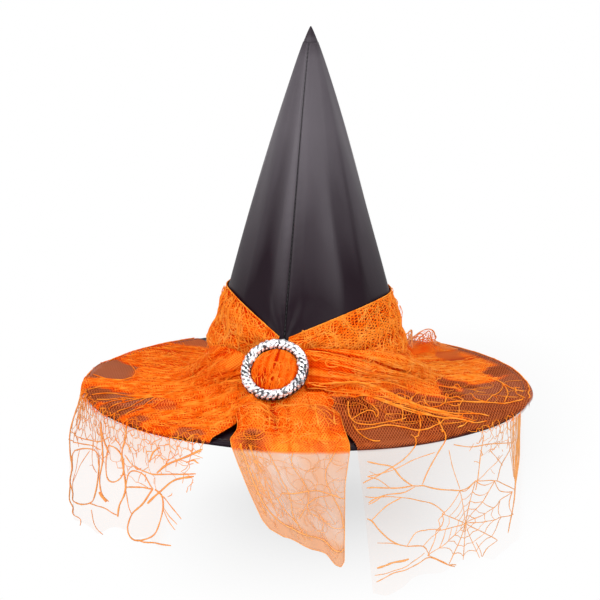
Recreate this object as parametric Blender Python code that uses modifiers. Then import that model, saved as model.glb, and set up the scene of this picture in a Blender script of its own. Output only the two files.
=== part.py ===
"""Witch hat: satin crown and brim with a spider-web lace scarf drawn through a rhinestone ring.

Metres, +Z up. The front of the hat, with its seam and ring, faces -Y. The origin is the centre of the
head opening, in the plane of the brim's underside.
"""
import math

import bmesh
import bpy
from mathutils import Matrix, Vector

# Hat
BRIM_RADIUS = 0.195
CROWN_BASE_RADIUS = 0.093
TIP_HEIGHT = 0.317
CROWN_TAPER = 0.875
COVER = 0.0006
STIFFENER = 0.0024
GAP = 0.0003
LAYER_GAP = 0.0008
BRIM_TOP = 2 * COVER + 2 * GAP + STIFFENER
PANEL = 0.0008
INTERLINING = 0.0012
SWEATBAND = 0.0012
SWEATBAND_HEIGHT = 0.030
SLANT = 1.04
POINT_HEIGHT = 0.014
POINT_END = 0.0008
POINT_STOPS = (0.0014, 0.005, 0.010)
CROWN_ROWS = 7
CROWN_ROW_SPACING = 0.85
CROWN_STEPS = 20
INTERLINING_ROWS = 5
INTERLINING_STEPS = 36
INTERLINING_DROP = 0.03
SEAM_HALF_GAP = 0.7
SEAM_ROWS = 10
SEAM_LOW_ENDS = {"front": 0.066, "back": 0.100}
BASE_STITCH_OUT = 0.0008
BASE_STITCH_STEPS = 48
SWEATBAND_FOOT = 0.0005
SWEATBAND_STITCH = 0.003
SWEATBAND_STEPS = 40
WIRE_RADIUS = 0.0011
WIRE_SIDES = 6
WIRE_SLACK = 0.0005
THREAD_RADIUS = 0.0004
EDGE_STITCH_INSET = 0.0055
RIM_BEND = 0.0012
RIM_BEND_MIDDLE = (0.0003, 0.0004)
RIM_BEND_INSIDE = (0.0007, 0.0013)
BRIM_STEPS = 60
BRIM_INNER = CROWN_BASE_RADIUS - (PANEL + LAYER_GAP + INTERLINING) * SLANT

# Slide ring
RING_CENTRE = Vector((0, -0.108, 0.0433))
RING_LEAN = 44.0
RING_RADIUS = 0.0241
FRAME_WIDTH = 0.0086
FRAME_THICKNESS = 0.0020
FRAME_BACK = -0.0040
FRAME_STEPS = 48
ROPE_RADIUS = 0.0042
ROPE_LOBES = 34
ROPE_SIDES = 8
ROPE_SWELL = (0.95, 0.07)
ROPE_TWIST = 2
BAR_RADIUS = 0.0010
BAR_DEPTH = -0.0030
BAR_SIDES = 12
PUFF_RADIUS = 0.0183
PUFF_RISE = 0.0030
PUFF_PLEAT = 0.14
PUFF_PLEATS = 9
PUFF_BACK = 0.4
GATHER_SIZE = (0.0225, 0.0190, 0.0045)
GATHER_DEPTH = -0.0107
DOME_STEPS = 24

# Lace: angles in degrees from the front, positive towards +X
LACE = 0.0015
CORNER_ROUND = 0.022
WRAP_FRONT = 3.0
WRAP_BACK = 178.2
WRAP_LIFT = 0.0014
WRAP_TOPS = (-0.058, -0.088)
WRAP_CLIMB_END = 62.0
WRAP_FEET = (-0.004, 0.014)
WRAP_FOOT_END = 40.0
WRAP_GATHER_END = 45.0
WRAP_BULK = 0.0008
WRAP_PLEAT = 0.0024
WRAP_PLEATS = 3
WRAP_EDGE_FADE = 12
WRAP_ROW_SPACING = 1.25
WING_LIFT = 0.0014
WING_INNER = 0.0195
WING_OUTER = 0.0900
WING_ANGLES = {"left": (-12.0, -128.0), "right": (29.0, 146.0)}
FAN_CENTRE = 0.104
FAN_REACH = 0.055
FAN_BULK = 0.009
FAN_PLEAT = 0.0034
FAN_PLEATS = 11
VEIL_ANGLES = {"left": (-7.5, -88.0), "right": (27.0, 88.0)}
VEIL_DROPS = {"left": (0.104, 0.120), "right": (0.121, 0.104)}
VEIL_FOLDS = {"left": 5.0, "right": 4.5}
TAIL_ANGLES = (-2.5, 24.0)
TAIL_DROPS = (0.066, 0.097)
TAIL_SLANT = 10.0
TAIL_START_ANGLES = (-8.0, 12.0)
TAIL_RUN = (0.024, 0.093)
TAIL_SPREAD = 1.1
TAIL_PUFF = 0.0075
TAIL_PUFF_START = 0.18
TAIL_PLEAT = 0.0035
TAIL_PLEATS = 2.5
TAIL_CORNER = 0.9
TAIL_CORNER_RISE = 0.05
TAIL_FLARE = 0.003
TAIL_FOLD = 0.003
TAIL_FOLDS = 2.0
TACK_RADIUS = 0.0006
TACK_INSET = 0.012
TACK_ANGLES = {"left": -47.0, "right": 58.0}
TACK_STEPS = (-2, -1, 0, 1, 2)
BACK_TACK_STEP = 2.5
BACK_TACK_RUN = -0.045
BACK_TACK_LIFT = 0.0095
RIM_CLEARANCE = 0.0014
VEIL_SWELL = 0.005
VEIL_TOP = 0.003
VEIL_FLARE = 0.004
VEIL_FOLD = 0.0045
VEIL_FOLD_START = 0.6
VEIL_HEM = 0.05
VEIL_HEM_WAVES = 9
HANG_TURN = 1.3

COLOURS = {
    "satin": ((0.020, 0.017, 0.021), 0.45, 0.0),
    "lining": ((0.012, 0.012, 0.013), 0.85, 0.0),
    "board": ((0.05, 0.05, 0.05), 0.9, 0.0),
    "thread": ((0.015, 0.014, 0.016), 0.7, 0.0),
    "wire": ((0.5, 0.5, 0.52), 0.35, 1.0),
    "lace": ((0.95, 0.30, 0.03), 0.7, 0.0),
    "silver": ((0.72, 0.72, 0.74), 0.25, 1.0),
    "stones": ((0.85, 0.86, 0.90), 0.08, 0.3),
}


def clear_scene():
    for old in list(bpy.data.objects):
        bpy.data.objects.remove(old, do_unlink=True)


def make_collection(name):
    made = bpy.data.collections.new(name)
    bpy.context.scene.collection.children.link(made)
    return made


def make_material(name):
    colour, roughness, metallic = COLOURS[name]
    made = bpy.data.materials.new(name)
    made.use_nodes = True
    shader = made.node_tree.nodes["Principled BSDF"]
    shader.inputs["Base Color"].default_value = (*colour, 1)
    shader.inputs["Roughness"].default_value = roughness
    shader.inputs["Metallic"].default_value = metallic
    return made


def add_part(name, data, material, parent=None, collection=None):
    part = bpy.data.objects.new(name, data)
    (collection or HAT).objects.link(part)
    data.materials.append(MATERIALS[material])
    part.parent = parent
    return part


def smooth_step(t):
    t = min(max(t, 0.0), 1.0)
    return t * t * (3 - 2 * t)


def mix(a, b, t):
    return a + (b - a) * t


def around(angle, radius, height):
    """The point at an angle from the front, a radius and a height."""
    turn = math.radians(angle)
    return Vector((radius * math.sin(turn), -radius * math.cos(turn), height))


def crown_radius(z):
    return CROWN_BASE_RADIUS * ((TIP_HEIGHT - z) / (TIP_HEIGHT - BRIM_TOP)) ** CROWN_TAPER


def crown_inside(z, depth):
    return crown_radius(z) - depth * SLANT


def profile_mesh(name, points, closed):
    """An outline in the XZ plane, ready for a Screw modifier."""
    mesh = bpy.data.meshes.new(name)
    edges = [(i, i + 1) for i in range(len(points) - 1)]
    if closed:
        edges.append((len(points) - 1, 0))
    mesh.from_pydata([(r, 0, z) for r, z in points], edges, [])
    return mesh


def turn_profile(part, steps, sweep=360.0):
    screw = part.modifiers.new("Screw", "SCREW")
    screw.angle = math.radians(sweep)
    screw.steps = screw.render_steps = steps
    screw.use_merge_vertices = True
    screw.merge_threshold = 0.00001
    screw.use_smooth_shade = True
    return screw


def turned_ring(name, points, steps, material):
    part = add_part(name, profile_mesh(name, points, True), material)
    turn_profile(part, steps)
    return part


def stitch_ring(name, radius, height, thickness, steps, material, sides=4):
    """A thread or wire that runs right round the hat."""
    turns = [-math.tau * i / sides for i in range(sides)]
    outline = [(radius + thickness * math.cos(a), height + thickness * math.sin(a)) for a in turns]
    return turned_ring(name, outline, steps, material)


def tube(name, points, radius, material, parent=None):
    curve = bpy.data.curves.new(name, "CURVE")
    curve.dimensions = "3D"
    curve.bevel_depth = radius
    curve.bevel_resolution = 1
    curve.use_fill_caps = True
    spline = curve.splines.new("POLY")
    spline.points.add(len(points) - 1)
    for knot, place in zip(spline.points, points):
        knot.co = (*place, 1)
    return add_part(name, curve, material, parent)


def sheet(name, columns, rows, shape, hinge=None, thickness=LACE):
    """A cloth sheet: a grid shaped by a formula of (across, along), each from 0 to 1, with a thickness."""
    mesh = bpy.data.meshes.new(name)
    grid = bmesh.new()
    bmesh.ops.create_grid(grid, x_segments=columns, y_segments=rows, size=0.5)
    middle = hinge.location if hinge else Vector()
    for vert in grid.verts:
        vert.co = shape(vert.co.x + 0.5, vert.co.y + 0.5) - middle
    bmesh.ops.triangulate(grid, faces=grid.faces)
    grid.to_mesh(mesh)
    grid.free()
    mesh.shade_smooth()
    part = add_part(name, mesh, "lace", hinge)
    solid = part.modifiers.new("Thickness", "SOLIDIFY")
    solid.thickness = thickness
    solid.offset = 0.0
    return part


# Crown

def make_crown():
    top = TIP_HEIGHT - POINT_HEIGHT
    shares = [(i / CROWN_ROWS) ** CROWN_ROW_SPACING for i in range(CROWN_ROWS + 1)]
    heights = [mix(top, BRIM_TOP + GAP, share) for share in shares]
    outline = [(crown_radius(z), z) for z in heights]
    for name, start in (("crown_panel_right", -90), ("crown_panel_left", 90)):
        panel = add_part(name, profile_mesh(name, outline, False), "satin")
        panel.rotation_euler.z = math.radians(start + SEAM_HALF_GAP)
        turn_profile(panel, CROWN_STEPS, 180 - 2 * SEAM_HALF_GAP)
        solid = panel.modifiers.new("Thickness", "SOLIDIFY")
        solid.thickness = PANEL
        solid.offset = -1.0

    foot = top + GAP
    stops = [TIP_HEIGHT - drop for drop in POINT_STOPS] + [foot]
    point = [(0, TIP_HEIGHT - POINT_END)]
    point += [(crown_radius(z), z) for z in stops]
    point.append((0, foot))
    tip = add_part("crown_tip", profile_mesh("crown_tip", point, False), "satin")
    turn_profile(tip, CROWN_STEPS)

    depth = PANEL + LAYER_GAP
    rows = range(INTERLINING_ROWS + 1)
    stops = [mix(TIP_HEIGHT - INTERLINING_DROP, BRIM_TOP + GAP, i / INTERLINING_ROWS) for i in rows]
    skin = [(crown_inside(z, depth), z) for z in stops]
    skin += [(crown_inside(z, depth + INTERLINING), z) for z in reversed(stops)]
    turned_ring("crown_interlining", skin, INTERLINING_STEPS, "lining")

    out = GAP + THREAD_RADIUS
    for side, angle in (("front", 0), ("back", 180)):
        run = [mix(top, SEAM_LOW_ENDS[side], i / SEAM_ROWS) for i in range(SEAM_ROWS + 1)]
        line = [around(angle, crown_radius(z) + out * SLANT, z) for z in run]
        tube(side + "_seam_thread", line, THREAD_RADIUS, "thread")
    stitch_ring("crown_base_thread", CROWN_BASE_RADIUS + BASE_STITCH_OUT, BRIM_TOP + GAP + THREAD_RADIUS,
                THREAD_RADIUS, BASE_STITCH_STEPS, "thread")


# Head opening

def make_sweatband():
    depth = PANEL + INTERLINING + 2 * LAYER_GAP
    seat = BRIM_TOP + GAP
    outer = [(crown_inside(SWEATBAND_HEIGHT, depth), SWEATBAND_HEIGHT), (crown_inside(seat, depth), seat),
             (crown_inside(seat, depth), SWEATBAND_FOOT)]
    inner = [(r - SWEATBAND * SLANT, z) for r, z in reversed(outer)]
    turned_ring("sweatband", outer + inner, SWEATBAND_STEPS, "lining")
    stitch_ring("sweatband_thread", inner[0][0] - GAP - THREAD_RADIUS, SWEATBAND_STITCH, THREAD_RADIUS,
                SWEATBAND_STEPS, "thread")


# Brim

def make_brim():
    rim = BRIM_RADIUS
    wall = rim - COVER
    middle_in, middle_down = RIM_BEND_MIDDLE
    inside_in, inside_down = RIM_BEND_INSIDE
    outside = [(BRIM_INNER, BRIM_TOP), (rim - RIM_BEND, BRIM_TOP), (rim - middle_in, BRIM_TOP - middle_down),
               (rim, BRIM_TOP - RIM_BEND), (rim, 0)]
    inside = [(wall, 0), (wall, BRIM_TOP - inside_down), (wall - inside_in, BRIM_TOP - COVER),
              (BRIM_INNER, BRIM_TOP - COVER)]
    turned_ring("brim_top_cover", outside + inside, BRIM_STEPS, "satin")
    under = [(BRIM_INNER, COVER), (wall - GAP, COVER), (wall - GAP, 0), (BRIM_INNER, 0)]
    turned_ring("brim_under_cover", under, BRIM_STEPS, "satin")
    low = COVER + GAP
    high = low + STIFFENER
    wire_centre = wall - GAP - WIRE_RADIUS - WIRE_SLACK
    edge = wire_centre - WIRE_RADIUS - GAP
    turned_ring("brim_stiffener", [(BRIM_INNER, high), (edge, high), (edge, low), (BRIM_INNER, low)],
                BRIM_STEPS, "board")
    stitch_ring("brim_edge_wire", wire_centre, (low + high) / 2, WIRE_RADIUS, BRIM_STEPS, "wire", WIRE_SIDES)
    stitch_ring("brim_edge_thread", rim - EDGE_STITCH_INSET, BRIM_TOP + GAP + THREAD_RADIUS, THREAD_RADIUS,
                BRIM_STEPS, "thread")


# Lace scarf on the hat

def hat_profile(m):
    """Radius and height of the hat's surface, m metres out from the corner of crown and brim (up the crown if
    negative), with the corner rounded as lace bridges it."""
    def sharp(run):
        if run >= 0:
            return Vector((CROWN_BASE_RADIUS + run, BRIM_TOP))
        height = BRIM_TOP - run / SLANT
        return Vector((crown_radius(height), height))

    if abs(m) >= CORNER_ROUND:
        return sharp(m)
    t = (m + CORNER_ROUND) / (2 * CORNER_ROUND)
    start, corner, end = sharp(-CORNER_ROUND), sharp(0), sharp(CORNER_ROUND)
    return start * (1 - t) ** 2 + corner * 2 * t * (1 - t) + end * t ** 2


def on_hat(angle, m, lift):
    """The point at an angle and a distance m along the hat's surface, lifted off it."""
    small = 0.0005
    here = hat_profile(m)
    along = (hat_profile(m + small) - hat_profile(m - small)).normalized()
    off = here + Vector((-along.y, along.x)) * lift
    return around(angle, off.x, off.y)


def make_wrap(side, sign):
    """Lace up one side of the crown, from behind the ring to the back."""
    def shape(across, along):
        angle = mix(WRAP_FRONT, WRAP_BACK, along ** WRAP_ROW_SPACING)
        top = mix(*WRAP_TOPS, smooth_step(angle / WRAP_CLIMB_END))
        foot = mix(*WRAP_FEET, smooth_step(angle / WRAP_FOOT_END))
        gathered = 1 - smooth_step(angle / WRAP_GATHER_END)
        pleat = 0.5 - 0.5 * math.cos(math.tau * WRAP_PLEATS * across)
        fade = min(1, WRAP_EDGE_FADE * across * (1 - across))
        lift = WRAP_LIFT + LACE / 2 + WRAP_BULK * gathered + WRAP_PLEAT * pleat * fade
        return on_hat(sign * angle, mix(top, foot, across), lift)

    sheet("lace_wrap_" + side, 8, 20, shape)


def wing_lift(angle, radius):
    """How far a wing of lace stands off the brim: pleats that fan out from the ring."""
    ring_foot = around(0, FAN_CENTRE, 0)
    spot = around(angle, radius, 0) - ring_foot
    fan = math.atan2(spot.x, -spot.y)
    near = math.exp(-(spot.length / FAN_REACH) ** 2)
    pleat = 0.5 - 0.5 * math.cos(FAN_PLEATS * fan)
    return WING_LIFT + LACE / 2 + FAN_BULK * near + FAN_PLEAT * pleat


def make_wing(side):
    """Lace over one side of the brim."""
    front, back = WING_ANGLES[side]

    def shape(across, along):
        angle = mix(front, back, along)
        out = mix(WING_INNER, WING_OUTER, across)
        return on_hat(angle, out, wing_lift(angle, CROWN_BASE_RADIUS + out))

    part = sheet("lace_wing_" + side, 6, 26, shape)
    if front < back:
        part.data.flip_normals()


def make_tail_top():
    """The tail's start, puffed up from under the ring to the front rim."""
    def shape(across, along):
        spread = smooth_step(along * TAIL_SPREAD)
        left, right = [mix(a, b, spread) for a, b in zip(TAIL_START_ANGLES, TAIL_ANGLES)]
        puff = TAIL_PUFF * math.sin(math.pi * min(1, mix(TAIL_PUFF_START, 1, along)))
        pleat = TAIL_PLEAT * (0.5 - 0.5 * math.cos(math.tau * TAIL_PLEATS * across))
        lift = WING_LIFT + LACE / 2 + puff + pleat
        return on_hat(mix(left, right, across), mix(*TAIL_RUN, along), lift)

    sheet("lace_tail_top", 12, 8, shape)


def make_tacks():
    """Short thread bars that hold the scarf to the hat."""
    turns = [180 + BACK_TACK_STEP * step for step in TACK_STEPS]
    back = [on_hat(angle, BACK_TACK_RUN, BACK_TACK_LIFT) for angle in turns]
    tube("lace_back_tack", back, TACK_RADIUS, "thread")
    out = WING_OUTER - TACK_INSET
    for side, middle in TACK_ANGLES.items():
        turns = [middle + step for step in TACK_STEPS]
        high = max(wing_lift(angle, CROWN_BASE_RADIUS + out) for angle in turns) + LACE + TACK_RADIUS
        tube("lace_" + side + "_tack", [on_hat(angle, out, high) for angle in turns], TACK_RADIUS, "thread")


# Slide ring and the lace through it

def make_ring():
    lean = math.radians(RING_LEAN)
    axis = bpy.data.objects.new("ring_axis", None)
    HAT.objects.link(axis)
    axis.location = RING_CENTRE
    axis.rotation_euler.x = math.pi / 2 - lean

    inner = RING_RADIUS - FRAME_WIDTH / 2
    outer = RING_RADIUS + FRAME_WIDTH / 2
    front = FRAME_BACK + FRAME_THICKNESS
    section = [(inner, front), (outer, front), (outer, FRAME_BACK), (inner, FRAME_BACK)]
    frame = turned_ring("buckle_frame", section, FRAME_STEPS, "silver")
    frame.parent = axis
    bpy.ops.mesh.primitive_cylinder_add(vertices=BAR_SIDES, radius=BAR_RADIUS, depth=2 * RING_RADIUS)
    bar = bpy.context.object
    bar.name = "bar_blank"
    for home in list(bar.users_collection):
        home.objects.unlink(bar)
    BLANKS.objects.link(bar)
    bar.parent = axis
    bar.location.z = BAR_DEPTH
    bar.rotation_euler.x = math.pi / 2
    bar.hide_render = True
    bar.display_type = "WIRE"
    join = frame.modifiers.new("Bar", "BOOLEAN")
    join.operation = "UNION"
    join.object = bar

    bpy.ops.mesh.primitive_torus_add(major_radius=RING_RADIUS, minor_radius=ROPE_RADIUS,
                                     major_segments=2 * ROPE_LOBES, minor_segments=ROPE_SIDES)
    rope = bpy.context.object
    rope.name = "rhinestone_rope"
    for home in list(rope.users_collection):
        home.objects.unlink(rope)
    HAT.objects.link(rope)
    rope.data.materials.append(MATERIALS["stones"])
    for vert in rope.data.vertices:
        place = vert.co
        turn = math.atan2(place.y, place.x)
        spine = Vector((math.cos(turn), math.sin(turn), 0)) * RING_RADIUS
        arm = place - spine
        roll = math.atan2(arm.z, Vector((place.x, place.y)).length - RING_RADIUS)
        swell = ROPE_SWELL[0] + ROPE_SWELL[1] * math.cos(ROPE_LOBES * turn + ROPE_TWIST * roll)
        vert.co = spine + arm * swell
        vert.co.z = max(vert.co.z, front + GAP)
    rope.data.shade_smooth()
    rope.parent = axis

    puff = bpy.data.meshes.new("lace_puff")
    dome = bmesh.new()
    bmesh.ops.create_uvsphere(dome, u_segments=DOME_STEPS, v_segments=9, radius=1.0)
    for vert in dome.verts:
        x, y, z = vert.co
        pleat = 1 + PUFF_PLEAT * math.cos(PUFF_PLEATS * x) if z > 0 else PUFF_BACK
        vert.co = (x * PUFF_RADIUS, y * PUFF_RADIUS, z * pleat * PUFF_RISE)
    dome.to_mesh(puff)
    dome.free()
    puff.shade_smooth()
    add_part("lace_puff", puff, "lace", axis)

    bundle = bpy.data.meshes.new("lace_gather")
    lump = bmesh.new()
    bmesh.ops.create_uvsphere(lump, u_segments=DOME_STEPS, v_segments=10, radius=1.0)
    bmesh.ops.scale(lump, vec=GATHER_SIZE, verts=lump.verts)
    facing = Matrix.Rotation(math.pi / 2 - lean, 4, "X")
    bmesh.ops.translate(lump, vec=(0, 0, GATHER_DEPTH), verts=lump.verts)
    bmesh.ops.transform(lump, matrix=Matrix.Translation(RING_CENTRE) @ facing, verts=lump.verts)
    lump.to_mesh(bundle)
    lump.free()
    bundle.shade_smooth()
    add_part("lace_gather", bundle, "lace")


# Lace that hangs past the rim

def hinge_point(angles):
    """A point under which a hanging curved sheet balances: the middle of its arc, set in from the rim."""
    middle = sum(angles) / 2
    half = math.radians(abs(angles[1] - angles[0]) / 2)
    return around(middle, (BRIM_RADIUS + VEIL_SWELL) * math.sin(half) / half, BRIM_TOP / 2)


def make_hinge(name, angles):
    hinge = bpy.data.objects.new(name, None)
    HAT.objects.link(hinge)
    hinge.location = hinge_point(angles)
    return hinge


def make_veil(side):
    angles = VEIL_ANGLES[side]
    first, last = VEIL_DROPS[side]

    def shape(across, along):
        drop = mix(first, last, across) * (1 + VEIL_HEM * math.sin(VEIL_HEM_WAVES * across))
        fold = math.cos(math.tau * VEIL_FOLDS[side] * across + VEIL_FOLD_START)
        depth = smooth_step(along * HANG_TURN)
        radius = BRIM_RADIUS + RIM_CLEARANCE + LACE / 2 + depth * (VEIL_FLARE + VEIL_FOLD * fold)
        return around(mix(*angles, across), radius, VEIL_TOP - along * drop)

    part = sheet("lace_veil_" + side, 30, 6, shape, make_hinge("veil_" + side + "_hinge", angles))
    if angles[0] < angles[1]:
        part.data.flip_normals()


def make_tail_end():
    def shape(across, along):
        rise = TAIL_CORNER_RISE * smooth_step((across - TAIL_CORNER) / (1 - TAIL_CORNER))
        drop = mix(*TAIL_DROPS, smooth_step(across / TAIL_CORNER)) * (1 - rise)
        angle = mix(TAIL_ANGLES[0] + TAIL_SLANT * along, TAIL_ANGLES[1] - along, across)
        fold = math.cos(math.tau * TAIL_FOLDS * across)
        depth = smooth_step(along * HANG_TURN)
        radius = BRIM_RADIUS + RIM_CLEARANCE + LACE / 2 + depth * (TAIL_FLARE + TAIL_FOLD * fold)
        return around(angle, radius, VEIL_TOP - along * drop)

    part = sheet("lace_tail_end", 14, 8, shape, make_hinge("tail_hinge", TAIL_ANGLES))
    part.data.flip_normals()


clear_scene()
HAT = make_collection("witch_hat")
BLANKS = make_collection("blanks")
MATERIALS = {name: make_material(name) for name in COLOURS}
make_crown()
make_sweatband()
make_brim()
make_wrap("left", -1)
make_wrap("right", 1)
make_wing("left")
make_wing("right")
make_tail_top()
make_tacks()
make_ring()
make_veil("left")
make_veil("right")
make_tail_end()
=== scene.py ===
"""Witch hat, dressed: satin crown and brim, and a spider-web lace scarf drawn through a rhinestone ring.

Metres, +Z up, front of the hat on -Y. Angles are degrees from the front, positive towards +X.
"""
import math

import bpy
import numpy as np
from mathutils import Matrix, Vector


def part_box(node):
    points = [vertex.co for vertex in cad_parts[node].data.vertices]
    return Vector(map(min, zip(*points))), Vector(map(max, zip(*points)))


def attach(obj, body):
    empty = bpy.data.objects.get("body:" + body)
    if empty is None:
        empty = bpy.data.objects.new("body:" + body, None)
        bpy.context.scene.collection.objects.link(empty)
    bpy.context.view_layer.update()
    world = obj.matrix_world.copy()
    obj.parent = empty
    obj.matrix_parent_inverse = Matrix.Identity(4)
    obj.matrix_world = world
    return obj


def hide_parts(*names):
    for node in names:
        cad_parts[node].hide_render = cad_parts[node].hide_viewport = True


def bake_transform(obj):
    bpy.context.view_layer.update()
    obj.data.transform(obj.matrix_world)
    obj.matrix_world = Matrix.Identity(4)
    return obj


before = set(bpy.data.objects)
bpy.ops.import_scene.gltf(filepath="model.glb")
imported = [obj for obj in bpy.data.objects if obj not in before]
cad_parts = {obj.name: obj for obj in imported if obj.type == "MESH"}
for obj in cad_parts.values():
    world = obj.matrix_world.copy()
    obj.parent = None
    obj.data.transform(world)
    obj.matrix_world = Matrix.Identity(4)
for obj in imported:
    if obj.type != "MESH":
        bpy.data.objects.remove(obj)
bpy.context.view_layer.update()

bl_info = {
    "name": "Witch hat",
    "version": (1, 0, 0),
    "blender": (4, 5, 0),
    "location": "View3D > Sidebar > Witch hat",
    "description": "Dresses a witch hat in satin, web lace and rhinestones",
    "category": "Object",
}

# Hat, from the frame and the pattern it was cut to
BRIM_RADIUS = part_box("brim_top_cover")[1].x
BRIM_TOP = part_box("brim_top_cover")[1].z
TIP_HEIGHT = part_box("crown_tip")[1].z + 0.0008
POINT_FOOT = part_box("crown_tip")[0].z
CROWN_BASE = 0.093
CROWN_TAPER = 0.875
SLANT = 1.04
CORNER_ROUND = 0.030
SATIN = 0.0006
LINING_DEPTH = 0.0030

# Slide ring: its centre, its lean and the rope of stones on it
RING_CENTRE = Vector((0, -0.108, 0.0433))
RING_LEAN = math.radians(44)
RING_RADIUS = 0.0241
ROPE_RADIUS = 0.0040
RING_PLACE = Matrix.Translation(RING_CENTRE) @ Matrix.Rotation(math.pi / 2 - RING_LEAN, 4, "X")

# Lace on the brim: rays that leave the ring and fan out to the rim
LIE = 0.0016
RIM_TURN = 0.0045
RIM_HEM = 0.004
RIM_RUN = BRIM_RADIUS - 0.002 - CROWN_BASE
SPREAD_LATE = 1.35
FANS = {
    "left": {"rim": (-7.5, -132.0), "ring_angle": (-3.0, -12.0), "wrap_angle": -138.0, "leaves_ring": 0.46,
             "start_run": (0.024, -0.050), "start_lift": (0.012, 0.013), "veil_end": -86.0, "drop": (0.092, 0.118),
             "slant": -9.0, "turn_early": 1.5, "pleats": 6.5, "seed": 3},
    "right": {"rim": (26.0, 158.0), "ring_angle": (15.0, 12.0), "wrap_angle": 165.0, "leaves_ring": 0.61,
              "start_run": (0.016, -0.053), "start_lift": (0.014, 0.014), "veil_end": 84.0, "drop": (0.120, 0.112),
              "slant": 3.0, "turn_early": 2.4, "pleats": 7.5, "seed": 8},
}
ROPE_FOLD = 62.0
WING_FOOT = -0.036
TAIL_TOP = (-3.6, 24.6)
TAIL_START = (-14.0, 26.0)
TAIL_RUN = 0.014
# Height of the tail off the brim at runs from behind the ring to the rim
TAIL_RISE = ((0.014, 0.033, 0.050, 0.070, 0.090, 0.101), (0.020, 0.0100, 0.0075, 0.0050, 0.0020, 0.0))
# Top edge of the lace round the crown: its greatest height, its dip in front, and the angle where it is highest
WRAP_RISE = {"left": (0.092, 0.034, 65.0), "right": (0.0885, 0.030, 83.0)}
WRAP_END = {"left": 178.5, "right": 184.0}


class HatSettings(bpy.types.PropertyGroup):
    """Satin, lining and ring."""
    # The satin's colour where its painted sheen is strongest.
    satin: bpy.props.FloatVectorProperty(
        name="Satin", description="Colour of the satin", subtype="COLOR", size=3, min=0, max=1,
        default=(0.102, 0.090, 0.103))
    # Painted shade: the satin's colour where its painted sheen is lowest, in creases and near the lace.
    satin_in_painted_shade: bpy.props.FloatVectorProperty(
        name="Satin shade", description="Colour of the satin in its creases", subtype="COLOR", size=3, min=0, max=1,
        default=(0.008, 0.002, 0.006))
    lining: bpy.props.FloatVectorProperty(
        name="Lining", description="Colour of the lining and sweatband", subtype="COLOR", size=3, min=0, max=1,
        default=(0.016, 0.016, 0.018))
    crease: bpy.props.FloatProperty(
        name="Crease", description="How far the satin is flattened between its creases, from 0 to 1", default=0.42,
        min=0, max=1, subtype="FACTOR")
    stitch: bpy.props.FloatProperty(
        name="Stitch", description="Length of a stitch", default=0.0034, min=0.001, unit="LENGTH")
    stone_rows: bpy.props.IntProperty(
        name="Stone rows", description="Slanted rows of stones round the ring", default=36, min=8)
    stone: bpy.props.FloatProperty(
        name="Stone", description="Half width of one stone", default=0.00178, min=0.0003, unit="LENGTH")
    # Painted shade: the ring's rope metal is made this dark so that the gaps between the stones read as shade.
    silver: bpy.props.FloatVectorProperty(
        name="Silver", description="Colour of the ring's metal", subtype="COLOR", size=3, min=0, max=1,
        default=(0.10, 0.10, 0.11))
    stone_colour: bpy.props.FloatVectorProperty(
        name="Stones", description="Colour of the stones", subtype="COLOR", size=3, min=0, max=1,
        default=(0.98, 0.98, 1.0))


class LaceSettings(bpy.types.PropertyGroup):
    """The web lace and its net ground."""
    middle: bpy.props.FloatVectorProperty(
        name="Lace", description="Colour of the net", subtype="COLOR", size=3, min=0, max=1,
        default=(0.92, 0.150, 0.0030))
    # Painted shade: the net's colour deep in its folds, also the lightest colour of the layers behind.
    deep: bpy.props.FloatVectorProperty(
        name="Lace in folds", description="Colour of the net deep in its folds", subtype="COLOR", size=3, min=0, max=1,
        default=(0.84, 0.056, 0.0005))
    # The thread colour, also the net's painted highlight on fold crests.
    light: bpy.props.FloatVectorProperty(
        name="Thread", description="Colour of the raised threads", subtype="COLOR", size=3, min=0, max=1,
        default=(1.0, 0.30, 0.026))
    backlit: bpy.props.FloatVectorProperty(
        name="Hanging lace", description="Colour of the lace where it hangs clear in the light", subtype="COLOR", size=3,
        min=0, max=1, default=(0.69, 0.28, 0.088))
    backlit_thread: bpy.props.FloatVectorProperty(
        name="Hanging thread", description="Colour of the threads where they hang clear in the light", subtype="COLOR",
        size=3, min=0, max=1, default=(0.86, 0.40, 0.145))
    net_cell: bpy.props.FloatProperty(
        name="Net cell", description="Width of one mesh of the net", default=0.0016, min=0.0005, unit="LENGTH")
    fine: bpy.props.FloatProperty(
        name="Fine thread", description="Radius of the fine threads", default=0.00032, min=0.0001, unit="LENGTH")
    strand: bpy.props.FloatProperty(
        name="Strand", description="Radius of the main strands of a web", default=0.00060, min=0.0001, unit="LENGTH")
    web_cell: bpy.props.FloatProperty(
        name="Web", description="Width of one web", default=0.040, min=0.01, unit="LENGTH")
    dense: bpy.props.FloatProperty(
        name="Gathered net", description="Share that the top net hides where the lace is gathered", default=0.60,
        min=0, max=1, subtype="FACTOR")
    dense_backing: bpy.props.FloatProperty(
        name="Gathered layers", description="How far the layers behind fill the gathered lace", default=0.94, min=0,
        max=1, subtype="FACTOR")
    sheer: bpy.props.FloatProperty(
        name="Sheer net", description="Share that one layer of net hides", default=0.35, min=0, max=1, subtype="FACTOR")
    sheer_backing: bpy.props.FloatProperty(
        name="Sheer layers", description="How far the layers behind fill the sheer lace", default=0.92, min=0, max=1,
        subtype="FACTOR")
    doubled: bpy.props.FloatProperty(
        name="Doubled net", description="Share that the doubled net of the tail hides", default=0.72, min=0, max=1,
        subtype="FACTOR")


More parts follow.
